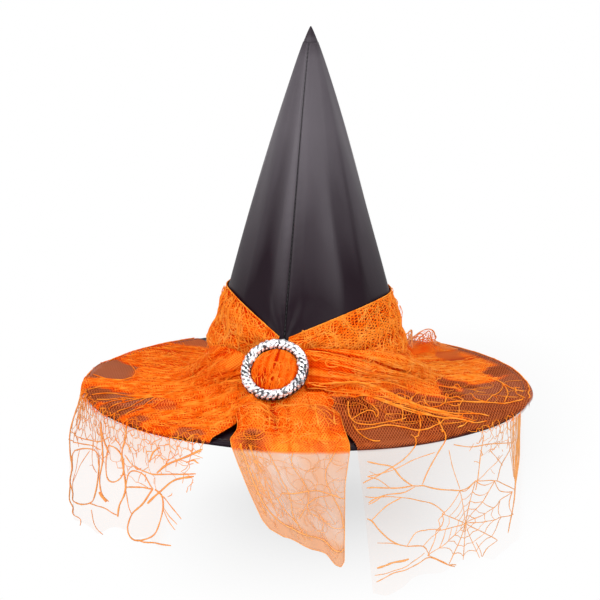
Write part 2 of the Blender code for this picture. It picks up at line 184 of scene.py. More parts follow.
class StageSettings(bpy.types.PropertyGroup):
    """Floor, lights and camera."""
    azimuth: bpy.props.FloatProperty(
        name="Azimuth", description="Camera's turn round the hat from its front", default=math.radians(15),
        subtype="ANGLE")
    elevation: bpy.props.FloatProperty(
        name="Elevation", description="Camera's height above the horizon", default=math.radians(12.456),
        subtype="ANGLE")
    roll: bpy.props.FloatProperty(
        name="Roll", description="Camera's turn about its own axis", default=math.radians(0.45), subtype="ANGLE")
    distance: bpy.props.FloatProperty(
        name="Distance", description="From the camera to what it aims at", default=1.642, unit="LENGTH")
    lens: bpy.props.FloatProperty(
        name="Lens", description="Focal length in millimetres", default=112.83, subtype="DISTANCE_CAMERA")
    aim_side: bpy.props.FloatProperty(
        name="Aim, sideways", description="Aim point to the camera's right of the hat's axis", default=-0.0073,
        unit="LENGTH")
    aim_height: bpy.props.FloatProperty(
        name="Aim, height", description="Height of the aim point", default=0.0789, unit="LENGTH")
    floor_drop: bpy.props.FloatProperty(
        name="Floor", description="Depth of the floor under the brim", default=0.145, min=0, unit="LENGTH")
    floor: bpy.props.FloatVectorProperty(
        name="Floor colour", description="Colour of the floor", subtype="COLOR", size=3, min=0, max=1,
        default=(0.86, 0.86, 0.86))
    floor_lift: bpy.props.FloatProperty(
        name="Floor white", description="Share of plain white in the floor's look next to the hat", default=0.36, min=0,
        max=1, subtype="FACTOR")
    daylight: bpy.props.FloatProperty(
        name="Daylight", description="Strength of the even light from all sides", default=0.55, min=0)


# Numbers and forms

def smooth(t):
    t = np.clip(t, 0.0, 1.0)
    return t * t * (3 - 2 * t)


def mix(a, b, t):
    return a + (b - a) * t


def hump(x, centre, width):
    return np.exp(-((x - centre) / width) ** 2)


def around(angle, radius, height):
    """Points at an angle from the front, a radius and a height."""
    turn = np.radians(angle)
    return np.stack(np.broadcast_arrays(radius * np.sin(turn), -radius * np.cos(turn), height), -1)


def crown_radius(z):
    share = np.clip((TIP_HEIGHT - z) / (TIP_HEIGHT - BRIM_TOP), 1e-5, None)
    return CROWN_BASE * share ** CROWN_TAPER


def sharp_profile(m):
    height = BRIM_TOP - np.minimum(m, 0) / SLANT
    return np.where(m >= 0, CROWN_BASE + m, crown_radius(height)), height


def hat_profile(m):
    """Radius and height of the hat's surface, m metres out from the corner of crown and brim (up the crown if
    negative), with the corner rounded as lace bridges it."""
    m = np.asarray(m, float)
    radius, height = sharp_profile(m)
    t = np.clip((m + CORNER_ROUND) / (2 * CORNER_ROUND), 0, 1)
    ends = [sharp_profile(np.asarray(k)) for k in (-CORNER_ROUND, 0.0, CORNER_ROUND)]
    shares = ((1 - t) ** 2, 2 * t * (1 - t), t ** 2)
    inside = np.abs(m) < CORNER_ROUND
    rounded = [sum(share * end[i] for share, end in zip(shares, ends)) for i in (0, 1)]
    return np.where(inside, rounded[0], radius), np.where(inside, rounded[1], height)


def on_hat(angle, m, lift):
    """Points at an angle and a distance m along the hat's surface, lifted off it."""
    small = 0.0005
    r, z = hat_profile(m)
    r_before, z_before = hat_profile(m - small)
    r_after, z_after = hat_profile(m + small)
    along_r, along_z = r_after - r_before, z_after - z_before
    size = np.hypot(along_r, along_z)
    return around(angle, r - along_z / size * lift, z + along_r / size * lift)


def valleys(folds):
    """From 0 on the crests and slopes of folds to 1 deep between them."""
    return smooth((0.46 - folds) / 0.3)


def gathers(share, along, count, seed):
    """Folds of gathered cloth from 0 in the valleys to 1 on the crests: round crests and sharp valleys."""
    shift = np.random.default_rng(seed).uniform(0, 1, 6)
    coarse = np.abs(np.sin(np.pi * (count * share + shift[0] + 0.5 * shift[1] * along)))
    middling = np.abs(np.sin(np.pi * (1.9 * count * share + shift[2] + shift[3] * along)))
    fine = np.abs(np.sin(np.pi * (4.3 * count * share + shift[4] + 2 * shift[5] * along)))
    return 0.58 * coarse + 0.28 * middling + 0.14 * fine


# Lace forms: each takes (share across, along), both arrays, and gives points

def fan_rim_angle(side, share):
    return mix(*FANS[side]["rim"], share)


def fan_share(side, angle):
    front, back = FANS[side]["rim"]
    return (angle - front) / (back - front)


def fan_hang(side, share):
    """How much lace hangs past the rim: a veil in front, and next to nothing behind it."""
    fan = FANS[side]
    front, back = fan["rim"]
    end = fan_share(side, fan["veil_end"])
    in_veil = np.clip(share / end, 0, 1)
    ragged = 1 + 0.045 * np.sin(19 * share + 1) + 0.03 * np.sin(47 * share)
    veil = mix(*fan["drop"], in_veil) * ragged
    behind = mix(0.0075, 0.0015, smooth((np.abs(fan_rim_angle(side, share)) - 96) / 14))
    return mix(veil, behind, smooth((share - end) / 0.035))


def fan_start(side, share):
    """Where a ray of the fan leaves the ring, or further back the crown's wrap: angle, run and lift."""
    fan = FANS[side]
    back = smooth((share - fan["leaves_ring"]) / (1 - fan["leaves_ring"]))
    angle = mix(mix(*fan["ring_angle"], share), fan["wrap_angle"], back)
    lift = mix(*fan["start_lift"], smooth(share * 1.6)) * (1 - smooth(2.2 * back))
    run = mix(*fan["start_run"], smooth(share * 1.5))
    return angle, mix(run, WING_FOOT, smooth(1.6 * back)), lift


def fan_lift(side, share, t):
    fan = FANS[side]
    rise = fan_start(side, share)[2]
    fall = (1 - smooth(t / 0.8)) ** 1.3
    folds = gathers(share, t, fan["pleats"], fan["seed"])
    tucked = smooth(2.2 * smooth((share - fan["leaves_ring"]) / (1 - fan["leaves_ring"])))
    height = mix(0.0120 * (1 - 0.95 * tucked), 0.0030, smooth(t * 1.05)) + 0.0050 * tucked * hump(t, 0.38, 0.18)
    height = height * (1 - 0.8 * smooth((share - 0.85) / 0.15))
    room_to_rock = 1 - smooth(t / 0.25)
    height = height * (1 - 0.40 * room_to_rock)
    rise = rise * (1 - 0.15 * room_to_rock)
    if side == "right":
        angle = fan_rim_angle(side, share)
        flat = smooth((angle - 40) / 16)
        height = height * mix(0.30, 1.0, flat)
        rise = rise + 0.010 * hump(angle, ROPE_FOLD, 4.0) * (1 - smooth((t - 0.55) / 0.45))
    behind = smooth((share - fan_share(side, fan["veil_end"])) / 0.1) * smooth((t - 0.5) / 0.4)
    return LIE * (1 - 0.75 * behind) + rise * fall + folds * height * (1 - 0.9 * behind)


def fan_route(side, share, along):
    """Angle and run of a place on the fan; past the rim the run goes on down the veil."""
    t = np.clip(along, 0, 1)
    first_angle, first_run, rise = fan_start(side, share)
    angle = mix(first_angle, fan_rim_angle(side, share), 1 - (1 - t) ** FANS[side]["turn_early"])
    run = mix(first_run, RIM_RUN, t ** SPREAD_LATE)
    return angle, run + np.clip(along - 1, 0, 1) * fan_hang(side, share)


def fan_lean(side, share, depth):
    """Degrees that the front edge of a veil hangs away from under its place on the rim."""
    in_veil = np.clip(share / fan_share(side, FANS[side]["veil_end"]), 0, 1)
    return FANS[side]["slant"] * depth / 0.09 * (1 - smooth(in_veil / 0.35))


def fan_point(side, share, along):
    """Lace from the ring over the brim (along 0 to 1) and down past the rim (1 to 2)."""
    fan = FANS[side]
    t = np.clip(along, 0, 1)
    rim_angle = fan_rim_angle(side, share)
    on_brim = on_hat(*fan_route(side, share, t), fan_lift(side, share, t))

    depth = np.maximum(along - 1, 0) * fan_hang(side, share)
    in_veil = np.clip(share / fan_share(side, fan["veil_end"]), 0, 1)
    low = smooth(depth / 0.06)
    fold = np.cos(2 * np.pi * (4.6 * in_veil + 0.1)) + 0.5 * np.cos(2 * np.pi * (9.7 * in_veil + 0.4))
    swell = 0.003 + 0.009 * hump(rim_angle, -72, 24)
    out = low * (swell + 0.0012 * fold)
    bend = np.clip(depth / RIM_TURN, 0, math.pi / 2)
    radius = CROWN_BASE + RIM_RUN + RIM_TURN * np.sin(bend) + out
    straight = np.maximum(depth - RIM_TURN * math.pi / 2, 0)
    start = BRIM_TOP + mix(fan_lift(side, share, np.ones_like(share)), LIE, smooth(depth / 0.02))
    height = start - RIM_TURN * (1 - np.cos(bend)) - straight
    hanging = around(rim_angle + fan_lean(side, share, depth), radius, height)
    return np.where((along <= 1)[..., None], on_brim, hanging)


def wrap_angle(side, along):
    return mix(3.0, WRAP_END[side], along ** 1.25)


def wrap_run(side, share, angle):
    """Distance along the hat's surface from the top edge of the lace round the crown to its foot."""
    highest, dip, reached = WRAP_RISE[side]
    top = -highest + dip * (1 - np.minimum(angle / reached, 1)) ** 2
    return mix(top, mix(-0.004, 0.024, smooth(angle / 40)), share)


def wrap_lift(side, share, along):
    angle = wrap_angle(side, along)
    run = wrap_run(side, share, angle)
    gathered = 1 - smooth(angle / 50)
    folds = gathers(share, along, 4.2, 5 if side == "left" else 6)
    height = mix(0.0028, 0.0080, gathered) * np.minimum(1, 9 * share) * (1 - 0.75 * smooth((share - 0.8) / 0.2))
    beside = smooth((angle - 40) / 50) * (1 - smooth((angle - 130) / 30))
    flare = (0.0045 if side == "left" else 0.0006) * hump(run, -0.038, 0.012) * beside
    lift = LIE * 0.7 + folds * height + flare
    edge = mix(-0.062, WING_FOOT - 0.005, smooth((angle - 14) / 40))
    return mix(lift, 0.0004, smooth((run - edge) / 0.010) * smooth((angle - 8) / 10))


def wrap_point(side, share, along):
    """Lace up one side of the crown, from its top edge (share 0) to its foot (1), front to back, where the right one
    laps over the left."""
    angle = wrap_angle(side, along)
    lift = wrap_lift(side, share, along)
    if side == "right":
        beneath = wrap_lift("left", share, np.ones_like(along))
        lift = mix(lift, beneath + 0.0012, smooth((angle - 171) / 8))
    return on_hat(angle if side == "right" else -angle, wrap_run(side, share, angle), lift)


def tail_drop(share):
    """Depth of the tail's slanting, curved hem."""
    return np.interp(share, (0, 0.04, 0.16, 0.33, 0.52, 0.73, 0.85, 0.95, 1),
                     (0.062, 0.070, 0.077, 0.080, 0.086, 0.091, 0.099, 0.101, 0.097))


def tail_point(share, along):
    """The tail: two puffs under the ring (along 0 to 1), then a free end past the rim (1 to 2)."""
    t = np.clip(along, 0, 1)
    spread = smooth(t * 1.15)
    angle = mix(mix(TAIL_START[0], TAIL_TOP[0], spread), mix(TAIL_START[1], TAIL_TOP[1], spread), share)
    puffs = np.abs(np.sin(np.pi * np.where(share < 0.36, share / 0.36, (share - 0.36) / 0.64))) ** 0.6
    fine = gathers(share, t, 5, 12)
    fall = 1 - smooth((t - 0.3) / 0.7)
    side = np.minimum(1, 8 * np.minimum(share, 1 - share))
    run = mix(TAIL_RUN, RIM_RUN, t)
    under_ring = np.interp(run, TAIL_RISE[0], TAIL_RISE[1])
    lift = LIE + under_ring * mix(0.75, 1, side) + puffs * 0.0100 * hump(run, 0.062, 0.03) * fall ** 0.3
    lift = lift + 0.0030 * fine * smooth((run - 0.03) / 0.02) * (1 - 0.6 * t)
    on_brim = on_hat(angle, run, lift)

    depth = np.clip(along - 1, 0, 1) * tail_drop(share)
    low = smooth(depth / 0.05)
    bend = np.clip(depth / RIM_TURN, 0, math.pi / 2)
    out = low * (0.003 + 0.0022 * np.cos(2 * np.pi * 2.2 * share))
    radius = CROWN_BASE + RIM_RUN + RIM_TURN * np.sin(bend) + out
    straight = np.maximum(depth - RIM_TURN * math.pi / 2, 0)
    start = BRIM_TOP + mix(LIE + 0.0028 * fine * 0.4, LIE, smooth(depth / 0.02))
    left_edge = TAIL_TOP[0] + 9.7 * depth / 0.071
    right_edge = TAIL_TOP[1] - 1.3 * smooth(depth / 0.04)
    hanging = around(mix(left_edge, right_edge, share), radius, start - RIM_TURN * (1 - np.cos(bend)) - straight)
    return np.where((along <= 1)[..., None], on_brim, hanging)


def on_ring(x, y, z):
    """Points given in the ring's own axes: x to the right, y up its face and z out of it."""
    local = np.stack(np.broadcast_arrays(x, y, z, 1.0), -1)
    return (local @ np.array(RING_PLACE).T)[..., :3]


def disc(share, along):
    """A square's (share, along) spread over a disc of radius 1."""
    a, b = 2 * share - 1, 2 * along - 1
    return a * np.sqrt(1 - b * b / 2), b * np.sqrt(1 - a * a / 2)


def puff_point(share, along):
    """The lace that shows through the ring, pleated upright with a crease down its middle."""
    x, y = disc(share, along)
    reach = np.clip(x * x + y * y, 0, 1)
    pleat = np.abs(np.sin(np.pi * (3.2 * x + 0.5 + 0.25 * y)))
    crease = hump(x, 0.06, 0.07)
    rise = 0.0036 * (1 - reach) ** 0.8 + (0.0016 * pleat - 0.0022 * crease) * (1 - reach)
    return on_ring(0.0199 * x, 0.0199 * y, rise - 0.0008)


def gather_point(share, along):
    """The bunched lace behind the ring, its pleats running out on all sides."""
    x, y = disc(share, along)
    reach = np.hypot(x, y)
    turn = np.arctan2(y, x)
    pleat = np.abs(np.sin(11 * turn + 3 * np.sin(2 * turn)))
    back = -0.0052 - 0.0180 * np.clip(reach - 0.35, 0, 1) ** 1.5 + 0.0016 * pleat * reach
    return on_ring(0.0300 * x, 0.0290 * y, back)


def ruffle_point(share, along):
    """A strip of lace that stands up behind the right wing, from the wrap out to the rim."""
    angle = mix(154, 145, along) + 1.5 * np.sin(17 * along) * share
    run = mix(0.016, 0.086, along)
    height = mix(0.013, 0.021, np.sin(np.pi * np.clip(along * 1.1, 0, 1))) * (1 - 0.85 * smooth((along - 0.7) / 0.3))
    height = height * (1 + 0.22 * np.sin(23 * along))
    return on_hat(angle, run + 0.003 * share * np.sin(21 * along), LIE + height * share)


# Cloth and thread as Blender pieces

def begin():
    """Back to object mode with nothing selected, so that the next operator acts on its own piece alone."""
    if bpy.context.mode != "OBJECT":
        bpy.ops.object.mode_set(mode="OBJECT")
    bpy.ops.object.select_all(action="DESELECT")


def closeness(cover):
    """Width of the net's lines, as a share of a mesh's half wave, that hides this share of what lies behind it."""
    one_way = 1 - np.sqrt(1 - np.clip(cover, 0, 1))
    return np.sin(np.pi / 2 * one_way) - 0.3 * (1 - smooth(cover / 0.08))


def cloth(name, columns, rows, form, reach=1.0, round_seam=False):
    """A grid shaped into cloth by form, a function of each point's share across and its place along."""
    begin()
    bpy.ops.mesh.primitive_grid_add(x_subdivisions=columns, y_subdivisions=rows, size=1, calc_uvs=True)
    piece = bpy.context.object
    piece.name = piece.data.name = name
    mesh = piece.data
    flat = np.empty(len(mesh.vertices) * 3, np.float32)
    mesh.vertices.foreach_get("co", flat)
    flat = flat.reshape(-1, 3).astype(float) + 0.5
    share, along = flat[:, 0], flat[:, 1] * reach
    mesh.vertices.foreach_set("co", form(share, along).astype(np.float32).ravel())
    mesh.update()
    if round_seam:
        bpy.ops.object.mode_set(mode="EDIT")
        bpy.ops.mesh.select_all(action="SELECT")
        bpy.ops.mesh.remove_doubles(threshold=0.00002)
        bpy.ops.object.mode_set(mode="OBJECT")
    bpy.ops.object.shade_smooth()
    return piece, share, along


def face_out(piece, outwards):
    """Turns the cloth's faces so that most of them point along outwards, a direction for each face's middle."""
    total = sum(face.normal.dot(outwards(face.center)) * face.area for face in piece.data.polygons)
    if total < 0:
        piece.data.flip_normals()


def off_axis(place):
    return Vector((place.x, place.y, 0.08))


def put_attribute(piece, name, values):
    layer = piece.data.attributes.new(name, "FLOAT", "POINT")
    layer.data.foreach_set("value", np.asarray(values, np.float32))


def thicken(piece, thickness, offset=-1.0):
    solid = piece.modifiers.new("Thickness", "SOLIDIFY")
    solid.thickness = thickness
    solid.offset = offset
    bpy.context.view_layer.objects.active = piece
    bpy.ops.object.modifier_apply(modifier=solid.name)


def rounded_line(points, step):
    """A smooth line through given points, with a point about every step of their own units."""
    points = np.asarray(points, float)
    padded = np.vstack([2 * points[0] - points[1], points, 2 * points[-1] - points[-2]])
    line = []
    for i in range(len(points) - 1):
        p0, p1, p2, p3 = padded[i:i + 4]
        count = max(2, int(np.linalg.norm(p2 - p1) / step))
        t = np.linspace(0, 1, count, endpoint=False)[:, None]
        line.append(0.5 * (2 * p1 + (p2 - p0) * t + (2 * p0 - 5 * p1 + 4 * p2 - p3) * t ** 2
                           + (3 * p1 - p0 - 3 * p2 + p3) * t ** 3))
    return np.vstack([*line, points[-1:]])


def surface_normals(form, share, along):
    small = 0.002
    across = form(np.clip(share + small, 0, 1), along) - form(np.clip(share - small, 0, 1), along)
    down = form(share, along + small) - form(share, np.maximum(along - small, 0))
    normal = np.cross(across, down)
    normal /= np.maximum(np.linalg.norm(normal, axis=-1, keepdims=True), 1e-12)
    place = form(share, along)
    guide = place * (1, 1, 0) + (0, 0, 0.08)
    normal *= np.sign((normal * guide).sum(-1, keepdims=True))
    return place, normal


def threads(name, form, routes, loose=(), above=0.0003):
    """Threads that lie on a cloth form, and loose ones that arch off it. A route is ((share, along) points, radius)."""
    first_loose = len(routes)
    routes = [*routes, *loose]
    joined = np.vstack([line for line, radius in routes])
    place, normal = surface_normals(form, joined[:, 0], joined[:, 1])
    draw = np.random.default_rng(len(routes))
    begin()
    curve = bpy.data.curves.new(name, "CURVE")
    curve.dimensions = "3D"
    curve.bevel_depth = 0.001
    curve.bevel_resolution = 0
    curve.use_fill_caps = True
    first = 0
    for number, (line, radius) in enumerate(routes):
        count = len(line)
        arch = draw.uniform(0.001, 0.0040) * np.sin(np.linspace(0, np.pi, count)) * (number >= first_loose)
        thick = radius * (1 + 0.22 * draw.uniform(-1, 1, count))
        thick[[0, -1]] *= 0.8
        raised = place[first:first + count] + normal[first:first + count] * (above + 0.6 * radius + arch)[:, None]
        spline = curve.splines.new("POLY")
        spline.points.add(count - 1)
        spline.points.foreach_set("co", np.hstack([raised, np.ones((count, 1))]).ravel())
        spline.points.foreach_set("radius", thick / 0.001)
        first += count
    piece = bpy.data.objects.new(name, curve)
    bpy.context.scene.collection.objects.link(piece)
    piece.select_set(True)
    bpy.context.view_layer.objects.active = piece
    bpy.ops.object.convert(target="MESH")
    piece = bpy.context.object
    piece.name = piece.data.name = name
    bpy.ops.object.shade_smooth()
    return piece


# Web lace, drawn flat in metres: x across, y along

def sagging(a, b, sag, count):
    """A line from a to b that is drawn a little to one side by sag, a vector."""
    t = np.linspace(0, 1, count)[:, None]
    return a + (b - a) * t + sag * (4 * t * (1 - t))


def one_web(draw, centre, spokes, rings, fine, strand, skip=0.0):
    """A spider web: spokes are the outer points, in order round the centre, and rings shares of the way to them."""
    lines = []
    centre = np.asarray(centre, float)
    spokes = np.asarray(spokes, float)
    for spoke in spokes:
        count = max(3, int(np.linalg.norm(spoke - centre) / 0.003))
        wander = draw.normal(0, 0.0006, 2)
        lines.append((sagging(centre, spoke, wander, count), fine * 1.15))
    for ring in rings:
        for here, after in zip(spokes, np.roll(spokes, -1, axis=0)):
            if draw.uniform() < skip:
                continue
            a, b = mix(centre, here, ring), mix(centre, after, ring)
            sag = (centre - (a + b) / 2) * draw.uniform(0.02, 0.12)
            count = max(3, int(np.linalg.norm(b - a) / 0.003))
            lines.append((sagging(a, b, sag, count), strand if ring >= 1 else fine))
    return lines


def web_cells(draw, width, length, cell, fine, strand, webbed=True):
    """Webs side by side over a strip of cloth, in uneven six-sided cells, or the cells alone."""
    height = cell * 0.87
    knots = {}

    def knot(column, row):
        key = (round(column * 6), round(row * 3))
        if key not in knots:
            knots[key] = np.array([column * cell, row * height]) + draw.normal(0, 0.13 * cell, 2)
        return knots[key]

    lines = []
    for row in range(-1, int(length / height) + 2):
        for column in range(-1, int(width / cell) + 2):
            middle = column + 0.5 * (row % 2)
            ring = [knot(middle + dx, row + dy) for dx, dy in
                    ((0.5, -1 / 3), (0.5, 1 / 3), (0, 2 / 3), (-0.5, 1 / 3), (-0.5, -1 / 3), (0, -2 / 3))]
            between = [(a + b) / 2 for a, b in zip(ring, ring[1:] + ring[:1])]
            spokes = [point for pair in zip(ring, between) for point in pair]
            centre = np.mean(ring, axis=0) + draw.normal(0, 0.10 * cell, 2)
            if webbed:
                lines += one_web(draw, centre, spokes, (0.24, 0.48, 0.74), fine, strand, 0.12)
            for a, b in zip(ring[:3], ring[1:4]):
                count = max(3, int(np.linalg.norm(b - a) / 0.003))
                lines.append((sagging(a, b, draw.normal(0, 0.05 * cell, 2), count), strand * draw.uniform(0.7, 1.25)))
    return lines


def inside(lines, keep):
    """The stretches of lines whose points keep() accepts."""
    found = []
    for line, radius in lines:
        good = keep(line[:, 0], line[:, 1])
        ends = np.flatnonzero(np.diff(np.concatenate([[False], good, [False]]).astype(int)))
        for start, stop in zip(ends[::2], ends[1::2]):
            if stop - start > 2:
                found.append((line[start:stop], radius))
    return found


def gather_lines(draw, count, reach, fine, strand, span=(0.0, 1.0)):
    """Threads pulled straight by the gathers, running along the folds, in (share, along)."""
    lines = []
    for i in range(count):
        share = mix(*span, (i + draw.uniform(0.1, 0.9)) / count)
        start = draw.uniform(0.02, 0.35) * reach
        stop = mix(start, reach, draw.uniform(0.45, 1.0))
        along = np.linspace(start, stop, max(6, int((stop - start) * 32)))
        wave = draw.uniform(0.002, 0.009) * np.sin(along * draw.uniform(6, 22) + draw.uniform(0, 6))
        drift = draw.normal(0, 0.02) * (along - start)
        radius = strand if draw.uniform() < 0.18 else fine
        lines.append((np.stack([np.clip(share + wave + drift, 0, 1), along], -1), radius))
    return lines


def tangles(draw, count, reach, size, fine, span=(0.0, 1.0)):
    """Small loops and hooks of loose thread, in (share, along); size is their reach (across, along)."""
    lines = []
    for _ in range(count):
        middle = np.array([mix(*span, draw.uniform(0, 1)), draw.uniform(0.03, 0.98) * reach])
        turn = np.linspace(0, draw.uniform(2.2, 6.0), 14) + draw.uniform(0, 6.3)
        grow = np.linspace(0.55, 1.15, 14)[:, None] if draw.uniform() < 0.5 else 1.0
        bent = np.stack([np.cos(turn) * size[0], np.sin(turn) * size[1]], -1) * draw.uniform(0.5, 1.3) * grow
        lines.append((middle + bent, fine * draw.uniform(0.75, 1.2)))
    return inside(lines, lambda share, along: (share > 0.003) & (share < 0.997) & (along > 0.002) & (along < reach))


# Materials

def put(tree, kind, options=(), inputs=()):
    """A node with its options, and its inputs as values or as other nodes' outputs."""
    node = tree.nodes.new("ShaderNode" + kind)
    for key, value in dict(options).items():
        setattr(node, key, value)
    for key, value in dict(inputs).items():
        if isinstance(value, bpy.types.NodeSocket):
            tree.links.new(value, node.inputs[key])
        else:
            node.inputs[key].default_value = value
    return node


def math_node(tree, operation, *values):
    return put(tree, "Math", {"operation": operation}, dict(enumerate(values))).outputs[0]


def ramp(tree, factor, stops):
    """A colour ramp through (place, colour) stops."""
    node = put(tree, "ValToRGB", (), {"Fac": factor})
    band = node.color_ramp.elements
    while len(band) < len(stops):
        band.new(0.5)
    for element, (place, colour) in zip(band, stops):
        element.position = place
        element.color = (*colour, 1)
    return node.outputs["Color"]


def new_material(name):
    made = bpy.data.materials.new(name)
    made.use_nodes = True
    return made, made.node_tree, made.node_tree.nodes["Principled BSDF"]


def new_group(name, inputs, outputs):
    group = bpy.data.node_groups.new(name, "ShaderNodeTree")
    for label, kind in inputs:
        group.interface.new_socket(name=label, in_out="INPUT", socket_type=kind)
    for label, kind in outputs:
        group.interface.new_socket(name=label, in_out="OUTPUT", socket_type=kind)
    return group, group.nodes.new("NodeGroupInput"), group.nodes.new("NodeGroupOutput")


def net_group():
    """A diamond net: two sets of lines, as wide as the closeness says, and how far inside a line a place is."""
    group, given, result = new_group(
        "Tulle net", (("Place", "NodeSocketVector"), ("Cells", "NodeSocketFloat"), ("Closeness", "NodeSocketFloat")),
        (("Mask", "NodeSocketFloat"), ("Height", "NodeSocketFloat")))
    turns = math_node(group, "MULTIPLY", given.outputs["Cells"], math.pi)
    split = put(group, "SeparateXYZ", (), {0: given.outputs["Place"]})
    inside_lines = []
    for angle in (45, -45):
        x = math_node(group, "MULTIPLY", split.outputs["X"], math.cos(math.radians(angle)))
        y = math_node(group, "MULTIPLY", split.outputs["Y"], math.sin(math.radians(angle)))
        wave = math_node(group, "SINE", math_node(group, "MULTIPLY", math_node(group, "ADD", x, y), turns))
        gap = math_node(group, "ABSOLUTE", wave)
        inside_lines.append(math_node(group, "SUBTRACT", given.outputs["Closeness"], gap))
    over = math_node(group, "MAXIMUM", *inside_lines)
    mask = put(group, "MapRange", {"interpolation_type": "SMOOTHSTEP"}, {0: over, 1: -0.05, 2: 0.05})
    group.links.new(mask.outputs[0], result.inputs["Mask"])
    group.links.new(over, result.inputs["Height"])
    return group


def grain_group():
    """Fine cloth grain and slow patches: a height and a patch value."""
    group, given, result = new_group(
        "Cloth grain", (("Place", "NodeSocketVector"), ("Grain", "NodeSocketFloat"), ("Patch", "NodeSocketFloat")),
        (("Height", "NodeSocketFloat"), ("Patches", "NodeSocketFloat")))
    fine = put(group, "TexNoise", (), {"Vector": given.outputs["Place"], "Scale": given.outputs["Grain"],
                                       "Detail": 2.0})
    slow = put(group, "TexNoise", (), {"Vector": given.outputs["Place"], "Scale": given.outputs["Patch"],
                                       "Detail": 3.0})
    group.links.new(fine.outputs["Fac"], result.inputs["Height"])
    group.links.new(slow.outputs["Fac"], result.inputs["Patches"])
    return group


def use_group(tree, group, inputs):
    node = put(tree, "Group")
    node.node_tree = group
    for key, value in inputs.items():
        if isinstance(value, bpy.types.NodeSocket):
            tree.links.new(value, node.inputs[key])
        else:
            node.inputs[key].default_value = value
    return node


def bump(tree, height, strength, distance):
    return put(tree, "Bump", (), {"Height": height, "Strength": strength, "Distance": distance}).outputs["Normal"]


def satin_material():
    hat = bpy.context.scene.hat_settings
    made, tree, shader = new_material("satin")
    place = put(tree, "TexCoord").outputs["Object"]
    stretched = put(tree, "Mapping", (), {"Vector": place, "Scale": (1.0, 1.0, 0.16)}).outputs[0]
    grain = use_group(tree, GROUPS["grain"], {"Place": stretched, "Grain": 1500.0, "Patch": 34.0})
    # Base colour runs from the painted-shade colour to the satin's lit colour by the painted sheen attribute: painted
    # sheen and shade.
    painted_sheen_and_shade = put(tree, "Attribute", {"attribute_name": "painted_sheen_and_shade"}).outputs["Fac"]
    uneven = math_node(tree, "MULTIPLY", math_node(tree, "SUBTRACT", grain.outputs["Patches"], 0.5), 0.35)
    middle = tuple(mix(dark, light, 0.34) for dark, light in zip(hat.satin_in_painted_shade, hat.satin))
    colour = ramp(tree, math_node(tree, "ADD", painted_sheen_and_shade, uneven),
                  ((0.1, hat.satin_in_painted_shade), (0.55, middle), (1.0, hat.satin)))
    rough = put(tree, "MapRange", (), {0: grain.outputs["Patches"], 1: 0.25, 2: 0.75, 3: 0.36, 4: 0.50})
    tree.links.new(colour, shader.inputs["Base Color"])
    tree.links.new(rough.outputs[0], shader.inputs["Roughness"])
    tree.links.new(bump(tree, grain.outputs["Height"], 0.15, 0.0003), shader.inputs["Normal"])
    shader.inputs["Specular IOR Level"].default_value = 0.12
    return made


def dull_material(name, colour, roughness, grain_size, strength):
    """Felt, board or plain thread: a dull ground with grain."""
    made, tree, shader = new_material(name)
    place = put(tree, "TexCoord").outputs["Object"]
    grain = use_group(tree, GROUPS["grain"], {"Place": place, "Grain": grain_size, "Patch": 40.0})
    lighter = tuple(min(1, c * 1.7 + 0.006) for c in colour)
    tree.links.new(ramp(tree, grain.outputs["Patches"], ((0.3, colour), (0.75, lighter))), shader.inputs["Base Color"])
    tree.links.new(bump(tree, grain.outputs["Height"], strength, 0.0006), shader.inputs["Normal"])
    shader.inputs["Roughness"].default_value = roughness
    return made


def metal_material(name, colour, low, high):
    made, tree, shader = new_material(name)
    place = put(tree, "TexCoord").outputs["Object"]
    grain = use_group(tree, GROUPS["grain"], {"Place": place, "Grain": 900.0, "Patch": 220.0})
    darker = tuple(c * 0.55 for c in colour)
    tree.links.new(ramp(tree, grain.outputs["Patches"], ((0.3, darker), (0.65, colour))), shader.inputs["Base Color"])
    rough = put(tree, "MapRange", (), {0: grain.outputs["Patches"], 1: 0.3, 2: 0.7, 3: high, 4: low})
    tree.links.new(rough.outputs[0], shader.inputs["Roughness"])
    tree.links.new(bump(tree, grain.outputs["Height"], 0.08, 0.0002), shader.inputs["Normal"])
    shader.inputs["Metallic"].default_value = 1.0
    return made


def stone_material():
    made, tree, shader = new_material("stones")
    place = put(tree, "TexCoord").outputs["Object"]
    # Painted glints: each stone's cell is coloured near black, grey or the stone colour, as painted sparkle and dark
    # reflections.
    cell = put(tree, "TexVoronoi", (), {"Vector": place, "Scale": 420.0})
    bright = bpy.context.scene.hat_settings.stone_colour
    painted_sparkle = ramp(tree, cell.outputs["Color"], ((0.10, (0.03, 0.03, 0.035)), (0.22, (0.60, 0.60, 0.65)), (0.34, bright)))
    tree.links.new(painted_sparkle, shader.inputs["Base Color"])
    rough = put(tree, "MapRange", (), {0: cell.outputs["Distance"], 3: 0.04, 4: 0.16})
    tree.links.new(rough.outputs[0], shader.inputs["Roughness"])
    shader.inputs["Metallic"].default_value = 0.5
    shader.inputs["Coat Weight"].default_value = 1.0
    shader.inputs["Coat Roughness"].default_value = 0.03
    return made


def lit_from_behind(tree, colour, place, backlit, most=1.0):
    """The colour on the brim, and a paler one painted where the lace hangs below it: painted backlight."""
    height = put(tree, "SeparateXYZ", (), {0: place}).outputs["Z"]
    hung = put(tree, "MapRange", (), {0: height, 1: 0.0015, 2: -0.001, 4: most}).outputs[0]
    both = put(tree, "Mix", {"data_type": "RGBA"}, {0: hung, 6: colour, 7: (*backlit, 1)})
    return both.outputs[2]


